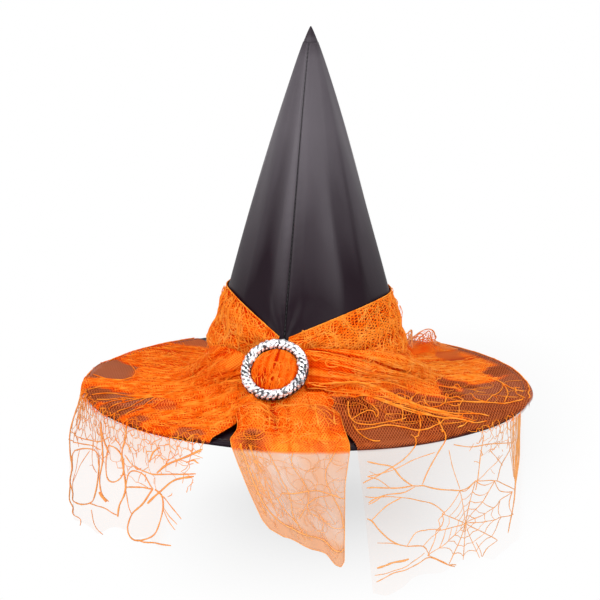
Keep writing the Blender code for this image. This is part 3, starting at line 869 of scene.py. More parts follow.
def lace_net_material():
    lace = bpy.context.scene.lace_settings
    made, tree, shader = new_material("lace_net")
    place = put(tree, "TexCoord").outputs["Object"]
    folds, flat = (put(tree, "UVMap", {"uv_map": name}).outputs["UV"] for name in ("folds", "net"))
    close, backing, painted_light, sheer = (put(tree, "Attribute", {"attribute_name": name}).outputs["Fac"]
                                   for name in ("closeness", "backing", "painted_light", "sheer"))
    grain = use_group(tree, GROUPS["grain"], {"Place": place, "Grain": 420.0, "Patch": 150.0})
    drawn = put(tree, "Mapping", (), {"Vector": folds, "Scale": (1.0, 0.12, 1.0)}).outputs[0]
    streaks = put(tree, "TexNoise", (), {"Vector": drawn, "Scale": 650.0, "Detail": 2.0}).outputs["Fac"]
    uneven = math_node(tree, "MULTIPLY", math_node(tree, "SUBTRACT", grain.outputs["Patches"], 0.5), 0.22)
    net = use_group(tree, GROUPS["net"], {"Place": flat, "Cells": 1 / lace.net_cell,
                                          "Closeness": math_node(tree, "ADD", close, uneven)})
    # The net's colour level: painted highlight on fold crests and painted shade in the folds from the painted light
    # attribute, with random patches and streaks.
    level = math_node(tree, "ADD", math_node(tree, "MULTIPLY", painted_light, 0.55),
                      math_node(tree, "MULTIPLY", grain.outputs["Patches"], 0.35))
    level = math_node(tree, "ADD", level, math_node(tree, "MULTIPLY", streaks, 0.22))
    broad = put(tree, "TexNoise", (), {"Vector": drawn, "Scale": 170.0, "Detail": 1.0}).outputs["Fac"]
    level = math_node(tree, "ADD", level, math_node(tree, "MULTIPLY", broad, 0.63))
    level = math_node(tree, "SUBTRACT", level, 0.14)
    # The layers behind the top net are darker still: painted shade.
    deepest_painted_shade = tuple(share * c for share, c in zip((0.62, 0.28, 0.2), lace.deep))
    over = ramp(tree, level, ((0.46, lace.deep), (0.78, lace.middle), (1.0, lace.light)))
    under = ramp(tree, level, ((0.45, deepest_painted_shade), (1.0, lace.deep)))
    # Where the net is sheer, its colours run from the dark satin behind to paler ones; the paler ones are partly the
    # net's own colour and partly the satin's sheen seen through it, as painted sheen.
    paleness = math_node(tree, "ADD", painted_light, math_node(tree, "MULTIPLY", uneven, 2.0))
    over_sheer = ramp(tree, paleness, ((0.0, (0.62, 0.125, 0.022)), (0.4, (0.54, 0.140, 0.045)), (1.0, (0.57, 0.180, 0.084))))
    under_sheer = ramp(tree, paleness, ((0.0, (0.07, 0.004, 0.0003)), (0.4, (0.22, 0.038, 0.009)), (1.0, (0.26, 0.058, 0.021))))
    over, under = (put(tree, "Mix", {"data_type": "RGBA"}, {0: sheer, 6: near, 7: far}).outputs[2]
                   for near, far in ((over, over_sheer), (under, under_sheer)))
    colour = put(tree, "Mix", {"data_type": "RGBA"}, {0: net.outputs["Mask"], 6: under, 7: over}).outputs[2]
    tree.links.new(lit_from_behind(tree, colour, place, lace.backlit), shader.inputs["Base Color"])
    tree.links.new(math_node(tree, "MAXIMUM", net.outputs["Mask"], backing), shader.inputs["Alpha"])
    height = math_node(tree, "ADD", grain.outputs["Height"], math_node(tree, "MULTIPLY", net.outputs["Height"], 0.5))
    tree.links.new(bump(tree, height, 0.35, 0.0006), shader.inputs["Normal"])
    shader.inputs["Roughness"].default_value = 0.8
    shader.inputs["Specular IOR Level"].default_value = 0.02
    return made


def lace_thread_material(name, hung_pale, light_from, below=0.0):
    """Thread, paler by hung_pale where it hangs below a height as painted backlight, and light where its patches pass
    light_from.
    """
    lace = bpy.context.scene.lace_settings
    made, tree, shader = new_material(name)
    place = put(tree, "TexCoord").outputs["Object"]
    lowered = put(tree, "VectorMath", {"operation": "SUBTRACT"}, {0: place, 1: (0.0, 0.0, below)}).outputs[0]
    grain = use_group(tree, GROUPS["grain"], {"Place": place, "Grain": 1300.0, "Patch": 120.0})
    pale = (1.0, lace.light[1] * 1.3, lace.light[2] * 2.5)
    colour = ramp(tree, grain.outputs["Patches"], ((light_from - 0.2, lace.middle), (light_from, lace.light), (light_from + 0.22, pale)))
    tree.links.new(lit_from_behind(tree, colour, lowered, lace.backlit_thread, hung_pale), shader.inputs["Base Color"])
    tree.links.new(bump(tree, grain.outputs["Height"], 0.4, 0.0004), shader.inputs["Normal"])
    shader.inputs["Roughness"].default_value = 0.7
    shader.inputs["Specular IOR Level"].default_value = 0.04
    return made


GROUPS = {}
FINISHES = {}


def make_finishes():
    """The node groups and materials, made once for the whole hat."""
    hat = bpy.context.scene.hat_settings
    GROUPS["net"] = net_group()
    GROUPS["grain"] = grain_group()
    FINISHES["satin"] = satin_material()
    FINISHES["lining"] = dull_material("lining", hat.lining, 0.9, 700.0, 0.5)
    FINISHES["board"] = dull_material("board", (0.05, 0.05, 0.05), 0.95, 400.0, 0.6)
    FINISHES["thread"] = dull_material("thread", (0.012, 0.011, 0.013), 0.65, 1600.0, 0.4)
    FINISHES["wire"] = metal_material("wire", (0.5, 0.5, 0.52), 0.3, 0.5)
    # The ring's rope, its metal darkened as painted shade between the stones.
    FINISHES["rope_metal_painted_shade"] = metal_material("rope_metal_painted_shade", hat.silver, 0.30, 0.50)
    FINISHES["frame"] = metal_material("frame", (0.70, 0.70, 0.72), 0.4, 0.6)
    FINISHES["polished"] = metal_material("polished", (0.46, 0.46, 0.47), 0.06, 0.16)
    FINISHES["stones"] = stone_material()
    FINISHES["lace"] = lace_net_material()
    FINISHES["lace_thread"] = lace_thread_material("lace_thread", 0.65, 0.60)
    FINISHES["pale_thread"] = lace_thread_material("pale_thread", 0.92, 0.48)
    # The ruffle's threads take the paler hanging colour all over: painted light.
    FINISHES["ruffle_thread_painted_light"] = lace_thread_material("ruffle_thread_painted_light", 0.92, 0.48, 0.1)


def dress(piece, finish, body=None, replaced=()):
    """Gives a piece its material and slot, and says what it rides on and stands for."""
    piece.data.materials.clear()
    piece.data.materials.append(FINISHES[finish])
    if body:
        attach(piece, body)
    if replaced:
        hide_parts(*replaced)


# Crown, brim and lining

RIDGES = (-180, -152, -118, -92, -64, -33, -9, 13, 39, 61, 96, 122, 155, 180)


def crown_relief(angle, z):
    """How far the satin stands off its cone: flats between creases, the seams' grooves with puckers, and pulls
    that run into the point of the lace's V."""
    crease = bpy.context.scene.hat_settings.crease
    radius = crown_radius(z)
    high = (z - BRIM_TOP) / (TIP_HEIGHT - BRIM_TOP)
    turned = (angle + 180 + 2.5 * np.sin(5 * high)) % 360 - 180
    ridges = np.asarray(RIDGES, float)
    flat = np.clip(np.searchsorted(ridges, turned, side="right") - 1, 0, len(ridges) - 2)
    middle, half = (ridges[flat] + ridges[flat + 1]) / 2, (ridges[flat + 1] - ridges[flat]) / 2
    chord = np.cos(np.radians(half)) / np.cos(np.radians(turned - middle)) - 1
    off = radius * chord * crease * smooth((1 - high) * 6) + 0.0004
    for seam in (0, 180):
        away = np.radians((angle - seam + 180) % 360 - 180) * radius
        pucker = 0.00016 * np.sin(z * math.tau / 0.0085 + 2 * np.sin(60 * z)) * hump(np.abs(away), 0.003, 0.0035)
        off = off + pucker - 0.0007 * hump(away, 0, 0.0009)
    across = np.radians(angle) * radius
    up = z - 0.058
    spread = np.degrees(np.arctan2(across, np.maximum(up, 0.002)))
    pull = np.cos(np.radians(spread * 13)) * hump(np.hypot(across, up), 0.018, 0.026) * hump(spread, 0, 34)
    soft = 0.0005 * np.sin(np.radians(7 * angle) + 9 * high) * high * (1 - high) * 4
    return off + 0.0007 * pull + soft


# Painted sheen and shade on the satin, one patch each: angle in degrees, height, widths in degrees and metres, and the
# change in painted sheen.
PAINTED_SHEEN = ((-5, 0.15, 6, 0.09, 0.28), (-21, 0.12, 7, 0.12, -0.22), (-55, 0.16, 18, 0.1, 0.10), (9, 0.2, 8, 0.06, 0.10),
         (60, 0.13, 3, 0.08, -0.22), (76, 0.15, 12, 0.1, 0.12),
         (-8, 0.26, 30, 0.03, 0.10), (20, 0.075, 60, 0.02, -0.12))


def crown_painted_sheen(angle, z):
    """How much painted sheen the satin gets, from 0 to 1: painted light high up, painted shade near the lace, with
    painted sheen and shade along its folds.
    """
    painted_sheen_and_shade = np.interp(z, (0.06, 0.09, 0.15, 0.23, 0.29, 0.31), (0.0, 0.08, 0.48, 0.88, 0.92, 0.5))
    for at_angle, at_height, wide, tall, change in PAINTED_SHEEN:
        painted_sheen_and_shade = painted_sheen_and_shade + change * hump(angle, at_angle, wide) * hump(z, at_height, tall)
    # A painted lit strip rising to a ridge on the right panel, and painted shade just past it.
    leaning = angle + 60 * (z - 0.13)
    past = smooth((leaning - 36) / 6)
    lit = smooth((leaning - 18) / 18) * (1 - past) - 0.8 * past * smooth((64 - leaning) / 20)
    painted_sheen_and_shade = painted_sheen_and_shade + 0.20 * lit * hump(z, 0.12, 0.06)
    return np.clip(painted_sheen_and_shade, 0, 1)


def crown_place(first, last, share, along):
    even = 0.5 - 0.5 * np.cos(np.pi * share)
    angle = mix(first, last, mix(share, even, 0.75))
    return angle, mix(BRIM_TOP + 0.0004, POINT_FOOT - 0.0002, 1 - (1 - along) ** 1.15)


def crown_form(first, last):
    def form(share, along):
        angle, z = crown_place(first, last, share, along)
        return around(angle, crown_radius(z) + crown_relief(angle, z), z)
    return form


def stitches(name, route, length, gap, radius, body="hat", replaced=(), finish="thread"):
    """A run of stitches: short bowed threads along a route, a function of metres that gives (points, outwards)."""
    count = int(route.length / (length + gap))
    step = route.length / count
    curve = bpy.data.curves.new(name, "CURVE")
    curve.dimensions = "3D"
    curve.bevel_depth = radius
    curve.bevel_resolution = 1
    curve.use_fill_caps = True
    for i in range(count):
        stretch = i * step + np.linspace(0, length, 4)
        place, outwards = route(stretch)
        bow = np.array([-0.5, 0.6, 0.6, -0.5])[:, None] * radius
        spline = curve.splines.new("POLY")
        spline.points.add(3)
        spline.points.foreach_set("co", np.hstack([place + outwards * bow, np.ones((4, 1))]).ravel())
    begin()
    piece = bpy.data.objects.new(name, curve)
    bpy.context.scene.collection.objects.link(piece)
    piece.select_set(True)
    bpy.context.view_layer.objects.active = piece
    bpy.ops.object.convert(target="MESH")
    piece = bpy.context.object
    piece.name = piece.data.name = name
    bpy.ops.object.shade_smooth()
    dress(piece, finish, body, replaced)
    return piece


class RoundRoute:
    """A stitch route right round the hat at a radius and height; outwards is up or in."""
    def __init__(self, radius, height, outwards):
        self.radius, self.height, self.outwards = radius, height, outwards
        self.length = math.tau * radius

    def __call__(self, stretch):
        place = around(np.degrees(stretch / self.radius), self.radius, self.height)
        if self.outwards == "up":
            return place, np.broadcast_to((0.0, 0.0, 1.0), place.shape)
        return place, -place * (1, 1, 0) / self.radius


class SeamRoute:
    """A stitch route down a crown seam."""
    def __init__(self, angle, low, sunk):
        self.angle, self.sunk = angle, sunk
        self.top = POINT_FOOT - 0.001
        self.length = (self.top - low) * SLANT

    def __call__(self, stretch):
        z = self.top - stretch / SLANT
        angle = np.full_like(z, self.angle)
        place = around(angle, crown_radius(z) + crown_relief(angle, z) + self.sunk, z)
        return place, place * (1, 1, 0) / np.maximum(crown_radius(z), 0.001)[:, None]


class HAT_OT_crown(bpy.types.Operator):
    """Makes the two satin panels of the crown, its point and its seams"""
    bl_idname = "hat.crown"
    bl_label = "Crown"

    def execute(self, context):
        for name, first, last in (("crown_right_satin", 0.5, 179.5), ("crown_left_satin", -179.5, -0.5)):
            piece, share, along = cloth(name, 96, 120, crown_form(first, last))
            put_attribute(piece, "painted_sheen_and_shade", crown_painted_sheen(*crown_place(first, last, share, along)))
            face_out(piece, off_axis)
            thicken(piece, SATIN)
            side = name.split("_")[1]
            dress(piece, "satin", "hat", ["crown_panel_" + side])
        self.point()
        length = context.scene.hat_settings.stitch
        stitches("front_seam_stitches", SeamRoute(0, 0.064, 0.0002), length * 0.7, 0.0012, 0.00032, "hat",
                 ["front_seam_thread"])
        stitches("back_seam_stitches", SeamRoute(180, 0.095, 0.0002), length * 0.7, 0.0012, 0.00032, "hat",
                 ["back_seam_thread"])
        stitches("crown_base_stitches", RoundRoute(CROWN_BASE + 0.0012, BRIM_TOP + 0.0005, "up"), length, 0.0014,
                 0.0004, "hat", ["crown_base_thread"])
        return {"FINISHED"}

    def point(self):
        begin()
        low = POINT_FOOT
        deep = TIP_HEIGHT - 0.0008 - low
        bpy.ops.mesh.primitive_cone_add(vertices=40, radius1=float(crown_radius(low)), radius2=0.0004, depth=deep,
                                        location=(0, 0, low + deep / 2))
        piece = bpy.context.object
        piece.name = piece.data.name = "crown_point"
        bpy.ops.object.mode_set(mode="EDIT")
        bpy.ops.mesh.select_all(action="SELECT")
        for height in np.linspace(low, low + deep, 9)[1:-1]:
            bpy.ops.mesh.select_all(action="SELECT")
            bpy.ops.mesh.bisect(plane_co=(0, 0, float(height)), plane_no=(0, 0, 1))
        bpy.ops.object.mode_set(mode="OBJECT")
        bpy.ops.object.transform_apply(location=True, rotation=True, scale=True)
        for vert in piece.data.vertices:
            z = vert.co.z
            turn = math.degrees(math.atan2(vert.co.x, -vert.co.y))
            fold = 0.0003 * math.sin(math.radians(5 * turn)) - 0.0006 * float(hump(turn, 0, 14))
            size = math.hypot(vert.co.x, vert.co.y)
            wanted = max(float(crown_radius(z)) + fold * (1 - (z - low) / deep), 0.0005)
            if size > 1e-6:
                vert.co.x *= wanted / size
                vert.co.y *= wanted / size
        # The point is painted darker above its foot than the panels' painted sheen there: painted shade.
        heights = np.array([vert.co.z for vert in piece.data.vertices])
        painted_sheen_and_shade = mix(float(crown_painted_sheen(0.0, low)), 0.40, smooth((heights - low - 0.003) / 0.004))
        put_attribute(piece, "painted_sheen_and_shade", painted_sheen_and_shade)
        bpy.ops.object.shade_smooth_by_angle(angle=math.radians(75))
        dress(piece, "satin", "hat", ["crown_tip"])


class HAT_OT_brim(bpy.types.Operator):
    """Makes the satin covers of the brim and their stitched edge, and finishes the board and wire inside"""
    bl_idname = "hat.brim"
    bl_label = "Brim"

    def execute(self, context):
        inner = CROWN_BASE - 0.0029
        rim = BRIM_RADIUS

        def top(share, along):
            angle = 360 * share
            run = mix(inner, rim + 0.0026, along)
            over = np.clip((run - (rim - 0.0013)) / 0.0013, 0, math.pi / 2)
            flat = np.minimum(run, rim - 0.0013)
            down = np.maximum(run - (rim - 0.0013) - 0.0013 * math.pi / 2, 0)
            wave = 0.00035 * np.sin(np.radians(9 * angle) + 40 * run) * smooth((rim - run) / 0.02)
            wave = wave * smooth((run - inner) / 0.01)
            height = BRIM_TOP - 0.0013 * (1 - np.cos(over)) - down + wave
            return around(angle, flat + 0.0013 * np.sin(over), height)

        def under(share, along):
            angle = 360 * share
            run = mix(rim - 0.0009, inner, along)
            wave = 0.00025 + 0.00025 * np.sin(np.radians(11 * angle) + 50 * run)
            return around(angle, run, wave)

        # The brim's satin has no painted sheen attribute, so its base colour is the dark, painted-shade end of the
        # satin colours.
        for name, form, up, node in (("brim_top_satin", top, 1, "brim_top_cover"),
                                     ("brim_under_satin", under, -1, "brim_under_cover")):
            piece, share, along = cloth(name, 220, 40, form, round_seam=True)
            face_out(piece, lambda place: Vector((0, 0, up)))
            thicken(piece, SATIN * 0.8)
            dress(piece, "satin", "hat", [node])
        length = context.scene.hat_settings.stitch
        stitches("brim_edge_stitches", RoundRoute(rim - 0.0055, BRIM_TOP + 0.0003, "up"), length, 0.0013, 0.0004,
                 "hat", ["brim_edge_thread"])
        for node, finish in (("brim_stiffener", "board"), ("brim_edge_wire", "wire")):
            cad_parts[node].data.materials.clear()
            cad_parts[node].data.materials.append(FINISHES[finish])
        return {"FINISHED"}


class HAT_OT_lining(bpy.types.Operator):
    """Makes the lining of the crown and the sweatband in the head opening"""
    bl_idname = "hat.lining"
    bl_label = "Lining"

    def execute(self, context):
        def lining(share, along):
            angle = 360 * share
            z = mix(BRIM_TOP + 0.0006, TIP_HEIGHT - 0.03, along)
            wrinkle = 0.0005 * np.sin(np.radians(8 * angle) + 30 * z) + 0.0003 * np.sin(np.radians(23 * angle))
            return around(angle, crown_radius(z) - LINING_DEPTH * SLANT + wrinkle * smooth((z - 0.03) / 0.03), z)

        def band(share, along):
            angle = 360 * share
            z = mix(0.0006, 0.030, along)
            wave = 0.0003 * np.sin(np.radians(14 * angle)) * along
            seat = crown_radius(np.maximum(z, BRIM_TOP)) - (LINING_DEPTH + 0.0014) * SLANT
            return around(angle, seat + wave - 0.0006 * hump(along, 0.03, 0.05), z)

        piece, share, along = cloth("crown_lining", 120, 60, lining, round_seam=True)
        face_out(piece, lambda place: -off_axis(place))
        thicken(piece, 0.0008, -1.0)
        dress(piece, "lining", "hat", ["crown_interlining"])

        piece, share, along = cloth("sweatband_cloth", 160, 10, band, round_seam=True)
        face_out(piece, lambda place: -off_axis(place))
        thicken(piece, 0.0010, -1.0)
        dress(piece, "lining", "hat", ["sweatband"])
        radius = CROWN_BASE - (LINING_DEPTH + 0.0014) * SLANT - 0.0002
        stitches("sweatband_stitches", RoundRoute(radius, 0.004, "in"), context.scene.hat_settings.stitch, 0.0014,
                 0.00035, "hat", ["sweatband_thread"])
        return {"FINISHED"}


# Ring

class HAT_OT_ring(bpy.types.Operator):
    """Sets the ring's slanted rows of stones in their cups, and finishes its metal"""
    bl_idname = "hat.ring"
    bl_label = "Rhinestone ring"

    def execute(self, context):
        hat = context.scene.hat_settings
        stone = self.stone(hat.stone)
        cup = self.cup(hat.stone)
        draw = np.random.default_rng(5)
        stones, cups = [], []
        for row in range(hat.stone_rows):
            for roll_degrees in (-58, -13, 32, 78):
                roll = math.radians(roll_degrees)
                turn = math.tau * row / hat.stone_rows - math.radians(8.0) * roll_degrees / 62
                spine = Vector((math.cos(turn), math.sin(turn), 0))
                out = spine * math.sin(roll) + Vector((0, 0, math.cos(roll)))
                place = spine * RING_RADIUS + out * (ROPE_RADIUS - 0.0014)
                ahead = (spine.cross(Vector((0, 0, 1)))).normalized()
                row_way = (out.cross(ahead) + ahead * 0.75).normalized()
                facing = Matrix((row_way, out.cross(row_way), out)).transposed().to_4x4()
                tilt = Matrix.Rotation(draw.normal(0, 0.22), 4, "X") @ Matrix.Rotation(draw.normal(0, 0.22), 4, "Y")
                uneven = Matrix.Scale(draw.uniform(0.80, 1.22), 4)
                where = RING_PLACE @ Matrix.Translation(place) @ facing @ tilt @ uneven
                for blank, made in ((stone, stones), (cup, cups)):
                    copy = blank.copy()
                    copy.data = blank.data.copy()
                    copy.data.transform(where)
                    context.scene.collection.objects.link(copy)
                    made.append(copy)
        for blank in (stone, cup):
            bpy.data.objects.remove(blank)
        for name, made, finish, slot in (("ring_stones", stones, "stones", "stones"),
                                         ("ring_stone_cups", cups, "frame", "silver")):
            begin()
            for copy in made:
                copy.select_set(True)
            context.view_layer.objects.active = made[0]
            bpy.ops.object.join()
            piece = context.object
            piece.name = piece.data.name = name
            dress(piece, finish, "buckle")
        for node, finish in (("buckle_frame", "polished"), ("rhinestone_rope", "rope_metal_painted_shade")):
            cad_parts[node].data.materials.clear()
            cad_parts[node].data.materials.append(FINISHES[finish])
        return {"FINISHED"}

    def stone(self, radius):
        """One stone: eight girdle facets drawn in to a flat table."""
        begin()
        bpy.ops.mesh.primitive_cone_add(vertices=8, radius1=radius, radius2=radius * 0.86, depth=radius * 0.4,
                                        location=(0, 0, radius * 0.35))
        piece = bpy.context.object
        bpy.ops.object.transform_apply(location=True)
        bpy.ops.object.mode_set(mode="EDIT")
        bpy.ops.mesh.select_mode(type="FACE")
        bpy.ops.mesh.select_all(action="DESELECT")
        bpy.ops.object.mode_set(mode="OBJECT")
        for face in piece.data.polygons:
            face.select = face.normal.z > 0.9
        bpy.ops.object.mode_set(mode="EDIT")
        bpy.ops.mesh.inset(thickness=radius * 0.34, depth=radius * 0.30)
        bpy.ops.mesh.select_all(action="SELECT")
        bpy.ops.transform.resize(value=(1.45, 1.0, 1.0), center_override=(0, 0, 0))
        bpy.ops.object.mode_set(mode="OBJECT")
        return piece

    def cup(self, radius):
        """One cup: a collar with a rounded lip, open to the stone."""
        begin()
        bpy.ops.mesh.primitive_cone_add(vertices=10, radius1=radius * 0.9, radius2=radius * 1.06, depth=radius * 0.7,
                                        location=(0, 0, radius * 0.02))
        piece = bpy.context.object
        bpy.ops.object.transform_apply(location=True)
        bpy.ops.object.mode_set(mode="EDIT")
        bpy.ops.mesh.select_mode(type="FACE")
        bpy.ops.mesh.select_all(action="DESELECT")
        bpy.ops.object.mode_set(mode="OBJECT")
        for face in piece.data.polygons:
            face.select = face.normal.z > 0.9
        bpy.ops.object.mode_set(mode="EDIT")
        bpy.ops.mesh.inset(thickness=radius * 0.16, depth=-radius * 0.1)
        bpy.ops.mesh.select_all(action="SELECT")
        bpy.ops.transform.resize(value=(1.45, 1.0, 1.0), center_override=(0, 0, 0))
        bpy.ops.object.mode_set(mode="OBJECT")
        return piece


# Lace

def lace_piece(name, columns, rows, form, spread, cover, painted_light, reach=1.0, net=None):
    """A piece of net: spread gives its places along the folds and net those in the net's own grain, both in metres;
    cover gives the share that its lines hide, how much the layers behind fill the meshes, and how sheer it looks; the
    function given after cover gives its painted light, lighter or darker from 0 to 1."""
    piece, share, along = cloth(name, columns, rows, form, reach)
    corner = np.empty(len(piece.data.loops), np.int32)
    piece.data.loops.foreach_get("vertex_index", corner)
    piece.data.uv_layers[0].name = "folds"
    piece.data.uv_layers.new(name="net")
    for layer, places in (("folds", spread), ("net", net or spread)):
        flat = np.stack(np.broadcast_arrays(*places(share, along)), -1)[corner]
        piece.data.uv_layers[layer].data.foreach_set("uv", flat.astype(np.float32).ravel())
    lines, layers, sheer = np.broadcast_arrays(*cover(share, along))
    put_attribute(piece, "closeness", closeness(lines))
    put_attribute(piece, "backing", layers)
    put_attribute(piece, "sheer", sheer)
    put_attribute(piece, "painted_light", np.clip(painted_light(share, along), 0, 1))
    face_out(piece, off_axis)
    return piece


NET_ARC = 0.16
NET_DRAWN = 0.35
NET_STRETCH = 0.2


def unrolled(angle, run):
    """Flat place of a place on the hat. The net on the brim is drawn out along the folds, and hangs even below."""
    over = np.maximum(run - RIM_RUN, 0)
    return NET_ARC * np.radians(angle), NET_DRAWN * np.minimum(run, RIM_RUN) + 2 * over


def hang_between(piece):
    """Bakes the world transform into cloth that lies on the brim and hangs below the rim."""
    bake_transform(piece)


# Sheer places on the wings, as ellipses in axes turned to the camera's side of the front: middle across and deep, half
# widths across and deep, all in millimetres, how thin the lace is there and how pale, both from 0 to 1; the paleness is
# partly the net's own colour and partly painted sheen of the satin seen through it.
WINDOW_TURN = math.radians(15)
WINDOWS = {
    "left": ((-179, 32, 29, 44, 1.0, 1.0), (-166, -66, 23, 20, 1.0, 1.0), (-143, -81, 18, 12, 0.9, 1.0),
             (-155, -105, 14, 20, 0.9, 0.8), (-119, -95, 15, 18, 0.45, 0.9), (-94, -169, 15, 14, 0.6, 0.5),
             (-183, -58, 15, 34, 0.95, 0.3), (-164, -106, 15, 26, 0.9, 0.3), (-140, -136, 12, 16, 0.6, 0.2)),
    "right": ((41, -117, 14, 16, 1.1, 0.0), (63, -169, 22, 25, 0.9, 0.5), (97, -107, 19, 10, 0.9, 0.1),
              (96, -132, 9, 12, 1.1, 0.0), (153, -34, 20, 36, 1.1, 1.0), (178, -17, 10, 45, 1.0, 0.9),
              (123, -48, 13, 15, 0.9, 0.1), (142, -104, 30, 24, 0.9, 0.3), (118, -157, 12, 22, 1.0, 0.2),
              (132, 97, 17, 26, 0.48, 0.4), (92, -122, 20, 20, 1.0, 0.0), (100, -47, 18, 22, 0.22, 0.05),
              (171, 43, 13, 19, 1.0, 0.3), (128, -14, 19, 14, 0.7, 0.1)),
}


def fan_windows(side, angle, run):
    """How thin and how pale the lace is at a place on the brim; the paleness is partly the net's own colour and partly
    painted sheen of the satin seen through it.
    """
    place = around(angle, CROWN_BASE + run, 0.0) * 1000
    across = place[..., 0] * math.cos(WINDOW_TURN) + place[..., 1] * math.sin(WINDOW_TURN)
    deep = place[..., 1] * math.cos(WINDOW_TURN) - place[..., 0] * math.sin(WINDOW_TURN)
    thin = np.zeros_like(across)
    pale = mix(0.22, 0.65, smooth((np.abs(angle) - 70) / 40))
    for at_across, at_deep, half_across, half_deep, thinness, paleness in WINDOWS[side]:
        aside, behind = (across - at_across) / half_across, (deep - at_deep) / half_deep
        turn = np.arctan2(behind, aside) + at_across
        out = np.hypot(aside, behind) * (1 + 0.16 * np.sin(2 * turn) + 0.10 * np.sin(5 * turn))
        within = 1 - smooth((out - 0.65) / 0.5)
        thin = np.maximum(thin, thinness * within)
        pale = mix(pale, paleness, within)
    return thin, pale


def fan_cover(side):
    lace = bpy.context.scene.lace_settings

    def cover(share, along):
        angle = fan_rim_angle(side, share)
        t = np.clip(along, 0, 1)
        here, run = fan_route(side, share, t)
        depth = np.maximum(along - 1, 0) * fan_hang(side, share)
        thin, pale = fan_windows(side, here, run)
        if side == "left":
            thin = np.maximum(thin, 0.62 * smooth((-angle - 122 + 3 * np.sin(9 * t) + 2 * np.sin(21 * t)) / 7))
            thick = np.maximum(1 - thin, 0)
            haze = mix(0.34, 0.10, smooth(depth / 0.06)) * (1 - smooth((-angle - 64) / 12)) * smooth((-angle - 7.5) / 12)
        else:
            near = 1 - smooth((t - 0.22) / 0.3)
            band = smooth((angle - 71) / 14) * (1 - smooth((run - mix(0.040, 0.082, smooth((angle - 98) / 20))) / 0.02))
            fold = hump(angle, ROPE_FOLD, mix(5.0, 2.0, t)) * (1 - smooth((t - 0.8) / 0.2))
            back = smooth((angle - 40) / 12)
            thick = np.maximum(np.clip(np.maximum(near * back, band), 0.32, 1) - thin, fold)
            haze = mix(0.13, 0.06, smooth((angle - 28) / 26)) * mix(1, 0.55, smooth(depth / 0.06))
            haze = haze * (1 - smooth((angle - 78) / 6))
        hung = smooth((depth - 0.0045) / 0.003)
        # The net thins in the fold valleys so that more of the dark behind shows: painted shade in the folds.
        deep = valleys(gathers(share, t, FANS[side]["pleats"], FANS[side]["seed"]))
        lines = mix(lace.sheer, lace.dense * (1 - 0.5 * deep), thick)
        layers = mix(lace.sheer_backing, lace.dense_backing, thick)
        return lines * (1 - hung), np.clip(mix(layers, haze, hung), 0, 1), 1 - smooth((thick - 0.25) / 0.5)
    return cover


def on_dense(side, lines, most=0.35):
    """The stretches of lines on a wing where its net is gathered close."""
    cover = fan_cover(side)
    return inside(lines, lambda share, along: cover(share, along)[2] < most)


def brim_routes(side, lines):
    """Lines in (degrees, metres from the hat's axis) on the brim as lines in the fan's (share, along)."""
    found = []
    for line, radius in lines:
        share = fan_share(side, line[:, 0])
        for _ in range(12):
            share = np.clip(share, 0, 1)
            first_angle, first_run, rise = fan_start(side, share)
            along = np.clip((line[:, 1] - CROWN_BASE - first_run) / (RIM_RUN - first_run), 0, 1) ** (1 / SPREAD_LATE)
            turned = np.maximum(1 - (1 - along) ** FANS[side]["turn_early"], 0.05)
            share = mix(share, fan_share(side, first_angle + (line[:, 0] - first_angle) / turned), 0.6)
        found.append((np.stack([np.clip(share, 0.002, 0.998), along], -1), radius))
    return found


def fan_painted_light(side):
    def painted_light(share, along):
        t = np.clip(along, 0, 1)
        folds = gathers(share, t, FANS[side]["pleats"], FANS[side]["seed"])
        sheer = fan_cover(side)(share, t)[2]
        pale = fan_windows(side, *fan_route(side, share, t))[1]
        # Painted light: lighter on fold crests and darker in the valleys; on the right wing darker next to the ring and
        # lighter further out; in the windows their painted sheen.
        low = 0.15 if side == "left" else mix(0.30, -0.18, smooth(t / 0.4))
        dense = mix(1.3 * folds - low, 0.6, smooth((along - 0.9) / 0.2))
        return mix(dense, pale, sheer)
    return painted_light


def fan_net(side):
    """The net of a wing lies flat on the brim in one grain, turned to the camera's side and drawn out front to back."""
    def net(share, along):
        angle, run = fan_route(side, share, along)
        turned = np.radians(angle) - WINDOW_TURN
        over = np.maximum(run - RIM_RUN, 0)
        radius, height = hat_profile(run - over)
        return radius * np.sin(turned), height - NET_STRETCH * radius * np.cos(turned) - over
    return net


def fan_spread(side):
    return lambda share, along: unrolled(*fan_route(side, share, along))


def wing_webs(draw, side, lace, span=(0.0, 1.0)):
    """Webs on a wing, drawn together towards the ring as the lace is."""
    wide = math.radians(abs(FANS[side]["rim"][1] - FANS[side]["rim"][0])) * BRIM_RADIUS
    webs = web_cells(draw, wide, RIM_RUN, 0.75 * lace.web_cell, lace.fine, 1.4 * lace.fine)
    webs = [(line / (wide, RIM_RUN), radius) for line, radius in webs]
    return inside(webs, lambda share, along: (share > span[0]) & (share < span[1]) & (along > 0.12) & (along < 1))


def veil_routes(side, lines):
    """Lines in (degrees, metres below the rim) as lines in the fan's (share, along)."""
    found = []
    for line, radius in lines:
        share = fan_share(side, line[:, 0])
        for _ in range(12):
            lean = fan_lean(side, np.clip(share, 0, 1), np.maximum(line[:, 1], 0))
            share = mix(share, fan_share(side, line[:, 0] - lean), 0.6)
        along = 1 + line[:, 1] / fan_hang(side, np.clip(share, 0, 1))
        found.append((np.stack([share, along], -1), radius))
    return found


def rim_border(side, draw, radius):
    """The wing's wavering border thread, just over the rim behind the veil."""
    share = np.linspace(fan_share(side, FANS[side]["veil_end"]) + 0.04, 0.99, 90)
    waver = np.sin(share * draw.uniform(45, 60)) + 0.6 * np.sin(share * draw.uniform(90, 120))
    return np.stack([share, 1.2 + 0.12 * waver], -1), radius


